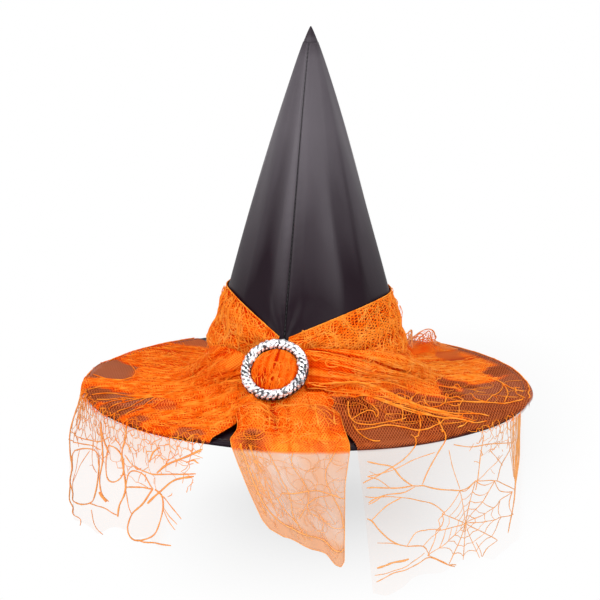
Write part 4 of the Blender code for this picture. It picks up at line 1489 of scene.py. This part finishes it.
def in_degrees(lines, first):
    """Lines in metres along the rim as lines in degrees, from an angle on."""
    scale = math.degrees(1 / BRIM_RADIUS)
    return [(np.stack([first + line[:, 0] * scale, line[:, 1]], -1), radius) for line, radius in lines]


def by_hand(strands, strand, hem=0.0):
    """Main strands given as (thickness, (degrees, millimetres down the veil or out on the brim) points)."""
    even = math.degrees(1 / BRIM_RADIUS)
    return [(rounded_line([(angle, even * (hem + run / 1000)) for angle, run in points], 0.9) / (1, even), strand * thick)
            for thick, points in strands]


RIGHT_BRIM_STRANDS = (
    (1.8, ((32, 107), (38, 110), (45, 118), (50, 133), (53.5, 148), (55.5, 165), (58.5, 180), (59, 196))),
    (1.5, ((31, 118), (29.5, 132), (30, 145), (33.5, 152), (40, 152), (47.5, 149))),
    (1.3, ((30, 140), (33.5, 134), (38.5, 132), (38, 142), (40.5, 133), (40.5, 121))),
    (1.5, ((29, 161), (33, 160), (39, 158), (42.5, 168), (45, 179), (50.5, 177), (55.5, 171))),
    (1.3, ((29, 150), (29, 171), (30, 188), (32, 197))),
    (1.3, ((53.5, 145), (49, 163), (43.5, 185), (41, 197))),
    (1.7, ((54.5, 166), (50.5, 185), (48.5, 197))),
    (1.3, ((59, 187), (56, 192), (53.5, 197))),
    (1.4, ((59.5, 122), (64.5, 117), (74, 119), (76.5, 129), (71.5, 139), (66, 143), (62.5, 140))),
    (1.3, ((71.5, 139), (77, 136), (81, 140), (75.5, 150), (68.5, 153), (69, 145))),
    (1.4, ((86, 106), (109, 122), (114.5, 143), (111.5, 159), (106.5, 170), (97, 175), (82.5, 180))),
    (1.2, ((103.5, 172), (91.5, 168), (81.5, 165))),
    (1.4, ((70, 142), (75.5, 157), (78.5, 172), (82.5, 185), (86, 195))),
    (1.2, ((58.5, 186), (60, 193), (64, 196))),
    (1.2, ((59.5, 110), (59, 114), (57.5, 121), (56.5, 129))),
    (1.0, ((51.5, 127), (49, 139), (44.5, 154))),
    (1.2, ((101, 182), (93, 184), (88, 193))),
    (1.2, ((106.5, 170), (99.5, 179), (96.5, 189))),
    (1.1, ((71.5, 151), (63.5, 166), (59, 175))),
    (1.1, ((87, 146), (82, 155), (80.5, 166))),
    (1.2, ((71, 121), (64, 129), (62.5, 138))),
)
LEFT_BRIM_STRANDS = (
    (1.5, ((-77.5, 190), (-75, 183), (-72, 172), (-72, 160), (-76, 154), (-82.5, 155), (-94, 171), (-97, 179))),
    (1.4, ((-62.5, 195), (-65, 178), (-61.5, 163), (-63, 148), (-60.5, 132))),
    (1.2, ((-57, 196), (-57, 177), (-51.5, 160), (-50, 139), (-45, 125))),
    (1.1, ((-52, 196), (-50, 184), (-50.5, 165), (-48.5, 149))),
    (1.1, ((-47, 196), (-48.5, 181), (-47.5, 164), (-47, 151))),
    (1.2, ((-43.5, 196), (-46, 181), (-46.5, 161), (-47, 149))),
    (1.2, ((-39, 197), (-41.5, 182), (-45, 160), (-46.5, 148))),
    (1.3, ((-35, 197), (-38, 181), (-43.5, 153), (-44.5, 140))),
    (1.2, ((-31, 197), (-34.5, 181), (-40.5, 150), (-41, 132))),
    (1.1, ((-67.5, 194), (-68.5, 182), (-67, 167), (-67.5, 152))),
    (1.0, ((-69.5, 138), (-78, 133), (-81, 126))),
    (1.1, ((-67.5, 107), (-50.5, 106), (-41, 109), (-30.5, 120), (-27, 127))),
    (1.0, ((-30.5, 120), (-24.5, 125), (-18.5, 131))),
    (1.2, ((-43, 147), (-42, 124), (-35, 113), (-23, 108))),
    (1.1, ((-15, 197), (-13.5, 181), (-10.5, 164), (-7.5, 145))),
    (1.0, ((-24.5, 197), (-26.5, 176), (-25, 157), (-24, 135))),
)
RIGHT_STRANDS = (
    (1.2, ((49.5, -9), (48.5, 3), (46.5, 11), (43.5, 26), (42, 35))),
    (1.0, ((41, -10), (40.5, 2), (38, 11), (34.5, 18), (31, 24), (27.5, 29), (26.5, 34))),
    (0.9, ((45.5, 11), (40, 14), (34, 21), (28.5, 24))),
    (1.3, ((28.5, 12), (31.5, 15), (34.5, 18), (36.5, 27), (39.5, 35), (42, 36), (45, 40), (50, 44), (52.5, 46),
           (56, 46), (58, 42))),
    (1.3, ((26.5, 34), (29.5, 33), (34, 35), (39.5, 35))),
    (1.1, ((28, 47), (30.5, 42), (34, 40), (37.5, 39), (40, 36))),
    (0.9, ((27, 39), (29.5, 41), (36.5, 43), (42, 49), (45.5, 54), (48, 62))),
    (1.1, ((29.5, 60), (32, 52), (36.5, 43))),
    (1.2, ((27.5, 57), (29.5, 60), (31.5, 69), (34.5, 79), (38, 84), (42.5, 87), (44.5, 96))),
    (0.9, ((38, 84), (40.5, 74), (43, 74), (47, 75))),
    (0.8, ((31, 79), (34.5, 81), (38, 84))),
    (0.9, ((42.5, 87), (45, 81), (47, 75), (46.5, 67), (48, 62))),
    (1.0, ((30, 113), (34.5, 107), (40, 102), (44.5, 98), (49.5, 107), (54.5, 113), (60.5, 115))),
    (0.8, ((30.5, 106), (34.5, 105), (38, 101), (43, 93))),
    (1.9, ((31, 100), (34, 98), (38.5, 95))),
    (0.9, ((50, 109), (47.5, 120), (46.5, 126))),
    (0.9, ((54.5, 113), (53.5, 119), (53, 124))),
    (1.0, ((61, 7), (59.5, 23), (58.5, 42), (58, 50))),
    (1.0, ((51, 8), (56.5, 13), (63, 15), (73, 22))),
    (0.8, ((63, 20), (65.5, 28), (69, 38))),
    (0.8, ((57.5, 11), (56, 16))),
    (0.7, ((49.5, 11), (50.5, 26), (52.5, 45))),
    (0.9, ((58, 42), (65.5, 48), (74, 63))),
    (0.8, ((65.5, 48), (68.5, 37), (73, 24))),
    (0.8, ((58.5, 42), (63, 35), (69, 29))),
    (0.9, ((60.5, 115), (60, 105), (58.5, 95))),
    (0.7, ((31, 24), (29, 20))),
    (0.9, ((34, 35), (31, 27), (28.5, 24))),
    (0.9, ((32, 41), (30, 45), (27.5, 48))),
)
RIGHT_WEB = (54.8, 76)
RIGHT_WEB_ENDS = ((52.5, 46), (58, 42), (64.5, 47), (73, 64), (74, 85), (67, 101), (60, 112), (54, 113), (49.5, 107),
                  (44, 96), (46, 76), (47.3, 62))
LEFT_STRANDS = (
    (1.1, ((-59, -9), (-70, 20), (-75, 44), (-76, 65), (-77, 87), (-69, 103), (-59, 105))),
    (1.0, ((-58.5, 46), (-64, 66), (-68, 85), (-61, 93), (-50.5, 85), (-45.5, 70), (-43.5, 50), (-44.5, 36),
           (-51, 37), (-58.5, 46))),
    (1.0, ((-45, 13), (-43.5, 22), (-42, 38), (-43, 56), (-42, 68), (-39, 71))),
    (1.0, ((-40, 24), (-40.5, 37), (-39.5, 51), (-36.5, 52), (-34, 44), (-34, 31), (-36.5, 24), (-40, 24))),
    (1.2, ((-33, 1), (-33.5, 14), (-34.5, 27), (-33, 54), (-35, 71), (-35.5, 81))),
    (1.0, ((-33.5, 27), (-30.5, 33), (-24.5, 35), (-21.5, 34), (-15, 30), (-10.5, 27))),
    (1.0, ((-33, 54), (-32, 42), (-29.5, 37), (-26, 38), (-23, 47))),
    (1.0, ((-33, 54), (-27.5, 49), (-23, 47))),
    (1.2, ((-23, 47), (-26, 61), (-30.5, 75), (-32.5, 88), (-31.5, 95), (-28, 95), (-23.5, 87), (-21.5, 74),
           (-20.5, 61), (-21, 51), (-22.5, 47))),
    (0.8, ((-20.5, 61), (-18.5, 67), (-15.5, 74))),
    (0.8, ((-22, 49), (-18.5, 57), (-15, 67))),
    (0.8, ((-20.5, 63), (-18.5, 72), (-16, 80))),
    (0.9, ((-49.5, 84), (-41.5, 79), (-35.5, 80))),
    (0.7, ((-49, 89), (-47.5, 99), (-42, 103))),
    (1.0, ((-28, 95), (-22, 93), (-17, 91))),
    (0.8, ((-31, 101), (-28.5, 102), (-26, 106))),
    (1.4, ((-10, 8), (-14.5, 16), (-19.5, 25), (-22, 33))),
    (1.4, ((-11, 29), (-17, 36), (-21.5, 49), (-24.5, 60))),
    (0.9, ((-33, 56), (-32, 70), (-30.5, 75))),
    (0.8, ((-72, 42), (-53.5, 31), (-44.5, 25), (-40, 17))),
    (0.8, ((-72, 50), (-51.5, 34), (-43.5, 31))),
    (1.2, ((-45, 9), (-43, 20), (-39.5, 30))),
    (1.3, ((-24.5, 26), (-23.5, 17), (-21.5, 12))),
    (0.9, ((-14, 20), (-12, 17), (-10, 22))),
    (0.8, ((-59, 105), (-54, 103), (-55, 112))),
    (2.2, ((-43, 67), (-41.5, 70), (-40, 72))),
    (0.6, ((-55, 42), (-57, 60), (-62, 84))),
    (0.6, ((-50, 38), (-54, 55), (-60, 76))),
)


class HAT_OT_left_lace(bpy.types.Operator):
    """Makes the left wing of lace and the veil that hangs from it, with its webs"""
    bl_idname = "hat.left_lace"
    bl_label = "Left wing and veil"

    def execute(self, context):
        lace = context.scene.lace_settings
        draw = np.random.default_rng(41)

        def form(share, along):
            return fan_point("left", share, along)

        piece = lace_piece("lace_left", 190, 84, form, fan_spread("left"), fan_cover("left"), fan_painted_light("left"), 2.0,
                           fan_net("left"))
        end = fan_share("left", FANS["left"]["veil_end"])
        lines = gather_lines(draw, 40, 1.0, lace.fine, 0.8 * lace.strand)
        lines += tangles(draw, 110, 1.0, (0.040, 0.09), lace.fine * 0.9)
        lines = on_dense("left", lines + wing_webs(draw, "left", lace))
        lines += brim_routes("left", by_hand(LEFT_BRIM_STRANDS, 0.7 * lace.strand))
        wide = math.radians(80) * BRIM_RADIUS
        meshes = []
        for cell, low, high in ((0.0062, 0.006, 0.030), (0.0105, 0.012, 0.050), (0.017, 0.03, 0.062)):
            layer = web_cells(draw, wide, high + 0.01, cell, lace.fine, lace.fine * 0.95, webbed=False)
            meshes += [mesh for mesh in layer if mesh[0][0, 1] < draw.uniform(low, high)]
        meshes = in_degrees([(line * (-1, 1), radius) for line, radius in meshes], -7.5)
        hung = veil_routes("left", meshes + by_hand(LEFT_STRANDS, lace.strand, RIM_HEM))
        lines += inside(hung, lambda share, along: (share >= 0.003) & (share <= end) & (along > 1.01) & (along < 2.05))
        lines.append(rim_border("left", draw, lace.strand))
        loose = on_dense("left", tangles(draw, 70, 1.0, (0.020, 0.05), lace.fine * 1.2))
        drawn = threads("lace_left_threads", form, lines, loose)
        for made, finish in ((piece, "lace"), (drawn, "lace_thread")):
            dress(made, finish)
            hang_between(made)
        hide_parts("lace_wing_left", "lace_veil_left")
        return {"FINISHED"}


class HAT_OT_right_lace(bpy.types.Operator):
    """Makes the right wing of lace and the veil that hangs from it, with its web and its standing ruffle"""
    bl_idname = "hat.right_lace"
    bl_label = "Right wing and veil"

    def execute(self, context):
        lace = context.scene.lace_settings
        draw = np.random.default_rng(57)

        def form(share, along):
            return fan_point("right", share, along)

        piece = lace_piece("lace_right", 190, 84, form, fan_spread("right"), fan_cover("right"),
                           fan_painted_light("right"), 2.0, fan_net("right"))
        end = fan_share("right", FANS["right"]["veil_end"])
        dense_from = fan_share("right", 86)
        lines = gather_lines(draw, 50, 0.9, lace.fine, 0.8 * lace.strand, (dense_from, 0.99))
        lines += tangles(draw, 110, 1.0, (0.040, 0.09), lace.fine * 0.9)
        lines = on_dense("right", lines + wing_webs(draw, "right", lace))
        lines += tangles(draw, 34, 1.0, (0.05, 0.12), lace.fine * 0.65, (0.05, 0.62))
        lines += brim_routes("right", by_hand(RIGHT_BRIM_STRANDS, 0.7 * lace.strand))
        rope = fan_share("right", ROPE_FOLD)
        lines += gather_lines(draw, 16, 1.0, lace.fine, lace.strand, (rope - 0.04, rope + 0.035))
        lines += tangles(draw, 60, 0.45, (0.02, 0.05), lace.fine, (rope - 0.03, 0.99))
        metres = np.array((math.radians(BRIM_RADIUS), 0.001))
        web = one_web(draw, RIGHT_WEB * metres + (0, RIM_HEM), RIGHT_WEB_ENDS * metres + (0, RIM_HEM),
                      (0.18, 0.34, 0.52, 0.74, 1.0), lace.fine, lace.fine * 1.3, 0.05)
        hung = in_degrees(web, 0) + by_hand(RIGHT_STRANDS, 0.72 * lace.strand, RIM_HEM)
        for cell, high in ((0.0065, 0.034), (0.011, 0.046)):
            layer = web_cells(draw, math.radians(20) * BRIM_RADIUS, high + 0.01, cell, lace.fine, lace.fine * 0.85, webbed=False)
            layer = [mesh for mesh in layer if mesh[0][0, 1] < draw.uniform(0.004, high)]
            hung += in_degrees(inside(layer, lambda across, depth: (depth > 0.003) & (across < 0.050)), 61)
        for i in range(20):
            start = mix(70.5, 79.5, (i / 19) ** 0.55)
            run = np.linspace(draw.uniform(0.0055, 0.009), mix(0.055, 0.103, hump(i, 12, 6)), 30)
            waver = 0.35 * np.sin(run * draw.uniform(40, 110) + draw.uniform(0, 6))
            closing = mix(start, 74.4, smooth(run / 0.075)) - 2.8 * smooth((run - 0.072) / 0.034)
            hung.append((np.stack([closing + waver * (1 - run / 0.13), run], -1), lace.strand * draw.uniform(0.4, 0.65)))
        lines += inside(veil_routes("right", hung), lambda share, along: (share > 0.003) & (share < end + 0.02)
                        & (along > 0.8) & (along < 1.12 + 0.9))
        lines.append(rim_border("right", draw, lace.strand))
        loose = on_dense("right", tangles(draw, 90, 1.0, (0.020, 0.05), lace.fine * 1.2))
        drawn = threads("lace_right_threads", form, lines, loose)
        for made, finish in ((piece, "lace"), (drawn, "pale_thread")):
            dress(made, finish)
            hang_between(made)
        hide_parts("lace_wing_right", "lace_veil_right")
        self.ruffle(lace, draw)
        return {"FINISHED"}

    def ruffle(self, lace, draw):
        # The ruffle's net gets a high painted light level, so it shows light.
        ruffle = lace_piece("lace_ruffle", 12, 90, ruffle_point, lambda s, a: (0.02 * s, 0.07 * a),
                            lambda s, a: (0.5 - 0.3 * s, 0.04 + 0.9 * (1 - smooth(s * 1.3)) * (1 - smooth((a - 0.6) / 0.2)), 0.0),
                            lambda s, a: 0.85 + 0.15 * np.sin(30 * a))
        lines = tangles(draw, 46, 1.0, (0.32, 0.06), lace.strand * 0.7)
        lines += tangles(draw, 40, 0.7, (0.30, 0.04), lace.strand * 0.7)
        lines += [(np.stack([np.full(60, share), np.linspace(0.01, 0.99, 60)], -1), lace.strand) for share in (0.97, 0.6)]
        drawn = threads("lace_ruffle_threads", ruffle_point, lines)
        dress(ruffle, "lace", "hat")
        dress(drawn, "ruffle_thread_painted_light", "hat")


class HAT_OT_wraps(bpy.types.Operator):
    """Makes the lace round the crown, left and right, and the bars of thread that hold it"""
    bl_idname = "hat.wraps"
    bl_label = "Lace round the crown"

    def execute(self, context):
        lace = context.scene.lace_settings
        for side, seed in (("left", 23), ("right", 29)):
            draw = np.random.default_rng(seed)

            def form(share, along, side=side):
                return wrap_point(side, share, along)

            def cover(share, along, side=side):
                open_top = hump(share, 0.12, 0.2) * hump(wrap_angle(side, along), 62, 26)
                layers = lace.dense_backing - (0.22 + 0.40 * open_top if side == "right" else 0.10 * open_top)
                # Thinner net in the fold valleys shows more of the dark layers behind: painted shade.
                deep = valleys(gathers(share, along, 4.2, 5 if side == "left" else 6))
                return lace.dense * (1 - 0.4 * deep), layers, 0.0

            # Painted light: lighter on fold crests and darker in the valleys, the left wrap darker overall.
            def painted_light(share, along, side=side):
                return 1.3 * gathers(share, along, 4.2, 5 if side == "left" else 6) - (0.3 if side == "left" else 0.12)

            def spread(share, along, side=side):
                return 0.10 * share, NET_DRAWN * 0.075 * np.radians(wrap_angle(side, along))

            piece = lace_piece("lace_wrap_" + side + "_cloth", 60, 150, form, spread, cover, painted_light)
            lines = gather_lines(draw, 14, 1.0, lace.fine, lace.strand)
            lines += tangles(draw, 190, 1.0, (0.08, 0.027), lace.fine * 1.05)
            webs = web_cells(draw, 0.27, 0.10, 0.6 * lace.web_cell, lace.fine, 1.3 * lace.fine)
            webs = [(line[:, ::-1] / (0.10, 0.27), radius) for line, radius in webs]
            lines += inside(webs, lambda share, along: (share > 0) & (share < 1) & (along > 0) & (along < 1))
            along = np.linspace(0.004, 0.996, 150)
            lines += [(np.stack([np.full(150, share), along], -1), lace.strand) for share in (0.004, 0.996)]
            loose = tangles(draw, 34, 1.0, (0.05, 0.018), lace.fine * 1.2)
            drawn = threads("lace_wrap_" + side + "_threads", form, lines, loose)
            dress(piece, "lace", "hat", ["lace_wrap_" + side])
            dress(drawn, "pale_thread", "hat")
        self.tacks()
        return {"FINISHED"}

    def tacks(self):
        """Crossed stitches through the lace at the back of the crown and on both wings."""
        spots = [on_hat(180 + step, -0.047, 0.0056) for step in (-3, -1, 1, 3)]
        spots += [fan_point(side, np.array(share), np.array(0.88)) + (0, 0, 0.001)
                  for side, share in (("left", 0.33), ("right", 0.258))]
        curve = bpy.data.curves.new("lace_tacks", "CURVE")
        curve.dimensions = "3D"
        curve.bevel_depth = 0.00045
        curve.bevel_resolution = 1
        curve.use_fill_caps = True
        for spot in spots:
            spot = Vector(spot)
            along = Vector((-spot.y, spot.x, 0)).normalized()
            out = Vector((spot.x, spot.y, 0)).normalized()
            for cross in (-1, 1):
                spline = curve.splines.new("POLY")
                spline.points.add(3)
                for knot, t in zip(spline.points, (-1, -0.35, 0.35, 1)):
                    place = spot + along * (0.0034 * t) + Vector((0, 0, 0.0022 * t * cross)) + out * (0.0008 * (1 - t * t))
                    knot.co = (*place, 1)
        begin()
        piece = bpy.data.objects.new("lace_tacks", curve)
        bpy.context.scene.collection.objects.link(piece)
        piece.select_set(True)
        bpy.context.view_layer.objects.active = piece
        bpy.ops.object.convert(target="MESH")
        dress(bpy.context.object, "lace_thread", "hat", ["lace_back_tack", "lace_left_tack", "lace_right_tack"])


class HAT_OT_tail(bpy.types.Operator):
    """Makes the short tail of lace that puffs out under the ring and hangs in front"""
    bl_idname = "hat.tail"
    bl_label = "Front tail"

    def execute(self, context):
        lace = context.scene.lace_settings
        draw = np.random.default_rng(71)

        def cover(share, along):
            thin = hump(share, 0.17, 0.12) * smooth((along - 0.80) / 0.08)
            thin = thin + 0.25 * hump(share, 0.76, 0.20) * smooth((along - 0.93) / 0.05)
            thin = np.clip(thin + 0.55 * hump(share, 0.86, 0.10) * hump(along, 0.55, 0.22), 0, 1)
            depth = np.maximum(along - 1, 0) * tail_drop(share)
            hung = smooth((depth - 0.0080) / 0.0018)
            hem = np.maximum(smooth((along - 1.78) / 0.08), 1 - smooth((share - 0.05) / 0.06))
            patchy = 0.5 + 0.25 * np.sin(11 * share + 5 * along) + 0.25 * np.sin(23 * share - 17 * along)
            hanging = mix(mix(0.62, 1.0, patchy), 1.1, hem) * lace.doubled
            layers = mix(lace.dense_backing, lace.sheer_backing, thin)
            # A painted crease between the two puffs and thinner net in the fold valleys: painted shade.
            crease = hump(share, 0.36, 0.03) * hump(along, 0.45, 0.4)
            deep = np.maximum(crease, 0.6 * valleys(gathers(share, along, 5, 12)) * (1 - smooth((along - 0.5) / 0.4)))
            close = mix(lace.dense, 0.78, smooth((along - 0.82) / 0.08))
            lines = mix(close * (1 - 0.8 * deep), 0.45, thin)
            return lines * (1 - hung), mix(layers, hanging, hung), thin

        # Painted light: the puffs lighter in their middles and darker at their sides, a painted dark crease between
        # them, and lighter fold crests.
        def painted_light(share, along):
            puffs = np.abs(np.sin(np.pi * np.where(share < 0.36, share / 0.36, (share - 0.36) / 0.64)))
            crease = hump(share, 0.35, 0.035) * hump(along, 0.35, 0.4)
            top = 0.05 + 0.60 * puffs ** 0.7 + 0.30 * gathers(share, along, 5, 12) - 0.9 * crease
            return mix(top, mix(0.9, 0.0, cover(share, np.minimum(along, 1))[2]), smooth((along - 0.82) / 0.1))

        def spread(share, along):
            return 0.09 * share, 0.04 * np.minimum(along, 1) + np.clip(along - 1, 0, 1) * tail_drop(share)

        piece = lace_piece("lace_tail", 90, 120, tail_point, spread, cover, painted_light, 2.0)
        lines = gather_lines(draw, 8, 1.0, lace.fine, lace.strand)
        lines += tangles(draw, 110, 1.04, (0.12, 0.13), lace.fine * 0.9)
        low = np.linspace(0.004, 0.996, 60)
        lines.append((np.stack([low, np.full(60, 1.992)], -1), lace.fine * 1.1))
        hem = rounded_line(((0.09, 1.05), (0.085, 1.5), (0.11, 1.72), (0.22, 1.84), (0.42, 1.86), (0.7, 1.87), (0.99, 1.87)),
                           0.02)
        lines.append((hem, lace.strand * 1.05))
        for edge in (0.004, 0.996):
            lines.append((np.stack([np.full(50, edge), np.linspace(0.1, 1.99, 50)], -1), lace.fine * 1.1))
        for thick, points in ((1.2, ((0.35, 1.5), (0.6, 1.44), (0.86, 1.41), (0.99, 1.45))),
                              (1.0, ((0.86, 1.41), (0.8, 1.25), (0.9, 1.02))),
                              (1.0, ((0.86, 1.41), (0.95, 1.55), (0.985, 1.7))),
                              (1.0, ((0.3, 1.03), (0.36, 1.3), (0.42, 1.5), (0.4, 1.7), (0.46, 1.85))),
                              (0.9, ((0.16, 1.05), (0.2, 1.35), (0.3, 1.65), (0.42, 1.78))),
                              (0.9, ((0.55, 1.03), (0.5, 1.2), (0.62, 1.43), (0.58, 1.62), (0.75, 1.68), (0.98, 1.68))),
                              (0.8, ((0.45, 1.72), (0.6, 1.55), (0.86, 1.41)))):
            lines.append((rounded_line(points, 0.03), 0.75 * lace.strand * thick))
        hung = tangles(draw, 60, 0.92, (0.16, 0.14), 0.55 * lace.fine)
        hung += tangles(draw, 40, 0.80, (0.05, 0.16), 0.7 * lace.fine, (0.03, 0.24))
        lines += [(line + (0, 1.03), radius) for line, radius in hung]
        drawn = threads("lace_tail_threads", tail_point, lines)
        for made, finish in ((piece, "lace"), (drawn, "pale_thread")):
            dress(made, finish)
            hang_between(made)
        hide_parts("lace_tail_top", "lace_tail_end")
        return {"FINISHED"}


class HAT_OT_ring_lace(bpy.types.Operator):
    """Makes the puff of lace that shows through the ring and the bunched lace behind it"""
    bl_idname = "hat.ring_lace"
    bl_label = "Lace in the ring"

    def execute(self, context):
        lace = context.scene.lace_settings
        draw = np.random.default_rng(83)
        for name, form, count, body, node, flat in (
                ("lace_ring_puff", puff_point, 70, "buckle", "lace_puff", (0.040, 0.038)),
                ("lace_ring_gather", gather_point, 60, "hat", "lace_gather", (0.070, 0.066))):
            # Painted light: lighter on the pleats, a painted dark crease down the middle, painted shade low on the left
            # and lighter towards the top; the net thins where it is painted darker.
            def painted_light(share, along, form=form):
                x, y = disc(share, along)
                pleats = 0.20 + 0.70 * np.abs(np.sin(np.pi * 3.2 * x)) - 1.0 * hump(x, 0.03, 0.05)
                return pleats - 1.1 * hump(x, -0.45, 0.3) * hump(y, -0.6, 0.35) + 0.2 * y

            piece = lace_piece(name, 48, 48, form, lambda s, a, flat=flat: (flat[0] * s, flat[1] * a),
                               lambda s, a, painted_light=painted_light: (lace.dense * smooth(0.35 + 1.6 * painted_light(s, a)), 0.97, 0.0), painted_light)
            lines = tangles(draw, count, 1.0, (0.09, 0.16), lace.fine * 0.9)
            drawn = threads(name + "_threads", form, lines)
            dress(piece, "lace", body, [node])
            dress(drawn, "lace_thread", body)
        return {"FINISHED"}


# Stage

class HAT_OT_stage(bpy.types.Operator):
    """Makes the pale floor, the soft lights and the camera"""
    bl_idname = "hat.stage"
    bl_label = "Stage"

    def execute(self, context):
        stage = context.scene.stage_settings
        self.floor(stage)
        self.lights(stage)
        self.camera(stage)
        context.scene.view_settings.view_transform = "Standard"
        return {"FINISHED"}

    def seen_directly(self, tree):
        """1 for rays from the camera, and for those seen in metal or glass."""
        path = put(tree, "LightPath").outputs
        both = math_node(tree, "MAXIMUM", path["Is Camera Ray"], path["Is Glossy Ray"])
        return math_node(tree, "MAXIMUM", both, path["Is Transmission Ray"])

    def floor(self, stage):
        begin()
        bpy.ops.mesh.primitive_plane_add(size=14, location=(0, 0, -stage.floor_drop))
        floor = bpy.context.object
        floor.name = "floor"
        made, tree, shader = new_material("floor")
        shader.inputs["Base Color"].default_value = (*stage.floor, 1)
        shader.inputs["Roughness"].default_value = 0.9
        shader.inputs["Specular IOR Level"].default_value = 0.0
        place = put(tree, "TexCoord").outputs["Object"]
        shadow = put(tree, "Mapping", (), {"Vector": place, "Location": (0.0, -0.144, 0.0), "Scale": (1.0, 0.40, 1.0)})
        away = put(tree, "VectorMath", {"operation": "LENGTH"}, {0: shadow.outputs[0]}).outputs["Value"]
        clear = put(tree, "MapRange", {"interpolation_type": "SMOOTHSTEP"}, {0: away, 1: 0.0, 2: 0.24,
                                                                            3: stage.floor_lift, 4: 1.0}).outputs[0]
        white = put(tree, "Emission", (), {"Strength": 1.0})
        both = put(tree, "MixShader", (), {0: math_node(tree, "MULTIPLY", self.seen_directly(tree), clear),
                                           1: shader.outputs[0], 2: white.outputs[0]})
        tree.links.new(both.outputs[0], tree.nodes["Material Output"].inputs["Surface"])
        floor.data.materials.append(made)

    def lights(self, stage):
        world = bpy.data.worlds.new("daylight")
        world.use_nodes = True
        bpy.context.scene.world = world
        tree = world.node_tree
        seen = self.seen_directly(tree)
        even = put(tree, "Background", (), {"Color": (1, 1, 1, 1), "Strength": stage.daylight})
        white = put(tree, "Background", (), {"Color": (1, 1, 1, 1), "Strength": 1.0})
        both = put(tree, "MixShader", (), {0: seen, 1: even.outputs[0], 2: white.outputs[0]})
        tree.links.new(both.outputs[0], tree.nodes["World Output"].inputs["Surface"])
        for name, place, size, power in (("key", (-0.8, -1.5, 1.0), 0.9, 18.0), ("fill", (1.2, -1.1, 0.6), 0.9, 12.5),
                                         ("top", (0.1, 0.5, 1.7), 1.2, 9.0)):
            lamp = bpy.data.lights.new(name, "AREA")
            lamp.size = size
            lamp.energy = power
            light = bpy.data.objects.new(name, lamp)
            light.location = place
            light.rotation_euler = (Vector((0, 0, 0.08)) - Vector(place)).to_track_quat("-Z", "Y").to_euler()
            bpy.context.scene.collection.objects.link(light)

    def camera(self, stage):
        turn = Matrix.Rotation(stage.azimuth, 3, "Z")
        aim = turn @ Vector((stage.aim_side, 0, stage.aim_height))
        back = turn @ Vector((0, -math.cos(stage.elevation), math.sin(stage.elevation)))
        data = bpy.data.cameras.new("camera")
        data.lens = stage.lens
        data.sensor_width = 36
        data.sensor_fit = "HORIZONTAL"
        data.clip_start = 0.05
        camera = bpy.data.objects.new("camera", data)
        camera.location = aim + back * stage.distance
        facing = (-back).to_track_quat("-Z", "Y").to_matrix()
        camera.rotation_euler = (facing @ Matrix.Rotation(stage.roll, 3, "Z")).to_euler()
        bpy.context.scene.collection.objects.link(camera)
        bpy.context.scene.camera = camera


OPERATORS = (HAT_OT_stage, HAT_OT_crown, HAT_OT_brim, HAT_OT_lining, HAT_OT_ring, HAT_OT_left_lace, HAT_OT_right_lace,
             HAT_OT_wraps, HAT_OT_tail, HAT_OT_ring_lace)


class HAT_PT_panel(bpy.types.Panel):
    """The hat's pieces in the sidebar"""
    bl_idname = "HAT_PT_panel"
    bl_label = "Witch hat"
    bl_space_type = "VIEW_3D"
    bl_region_type = "UI"
    bl_category = "Witch hat"

    def draw(self, context):
        for operator in OPERATORS:
            self.layout.operator(operator.bl_idname)
        for group in ("hat_settings", "lace_settings", "stage_settings"):
            column = self.layout.column()
            values = getattr(context.scene, group)
            for name in values.bl_rna.properties.keys():
                if name not in ("rna_type", "name"):
                    column.prop(values, name)


CLASSES = (HatSettings, LaceSettings, StageSettings, *OPERATORS, HAT_PT_panel)


def register():
    for item in CLASSES:
        bpy.utils.register_class(item)
    bpy.types.Scene.hat_settings = bpy.props.PointerProperty(type=HatSettings)
    bpy.types.Scene.lace_settings = bpy.props.PointerProperty(type=LaceSettings)
    bpy.types.Scene.stage_settings = bpy.props.PointerProperty(type=StageSettings)


def unregister():
    del bpy.types.Scene.hat_settings
    del bpy.types.Scene.lace_settings
    del bpy.types.Scene.stage_settings
    for item in reversed(CLASSES):
        bpy.utils.unregister_class(item)


def main():
    register()
    make_finishes()
    bpy.ops.hat.stage()
    bpy.ops.hat.crown()
    bpy.ops.hat.brim()
    bpy.ops.hat.lining()
    bpy.ops.hat.ring()
    bpy.ops.hat.left_lace()
    bpy.ops.hat.right_lace()
    bpy.ops.hat.wraps()
    bpy.ops.hat.tail()
    bpy.ops.hat.ring_lace()


if __name__ == "__main__":
    main()
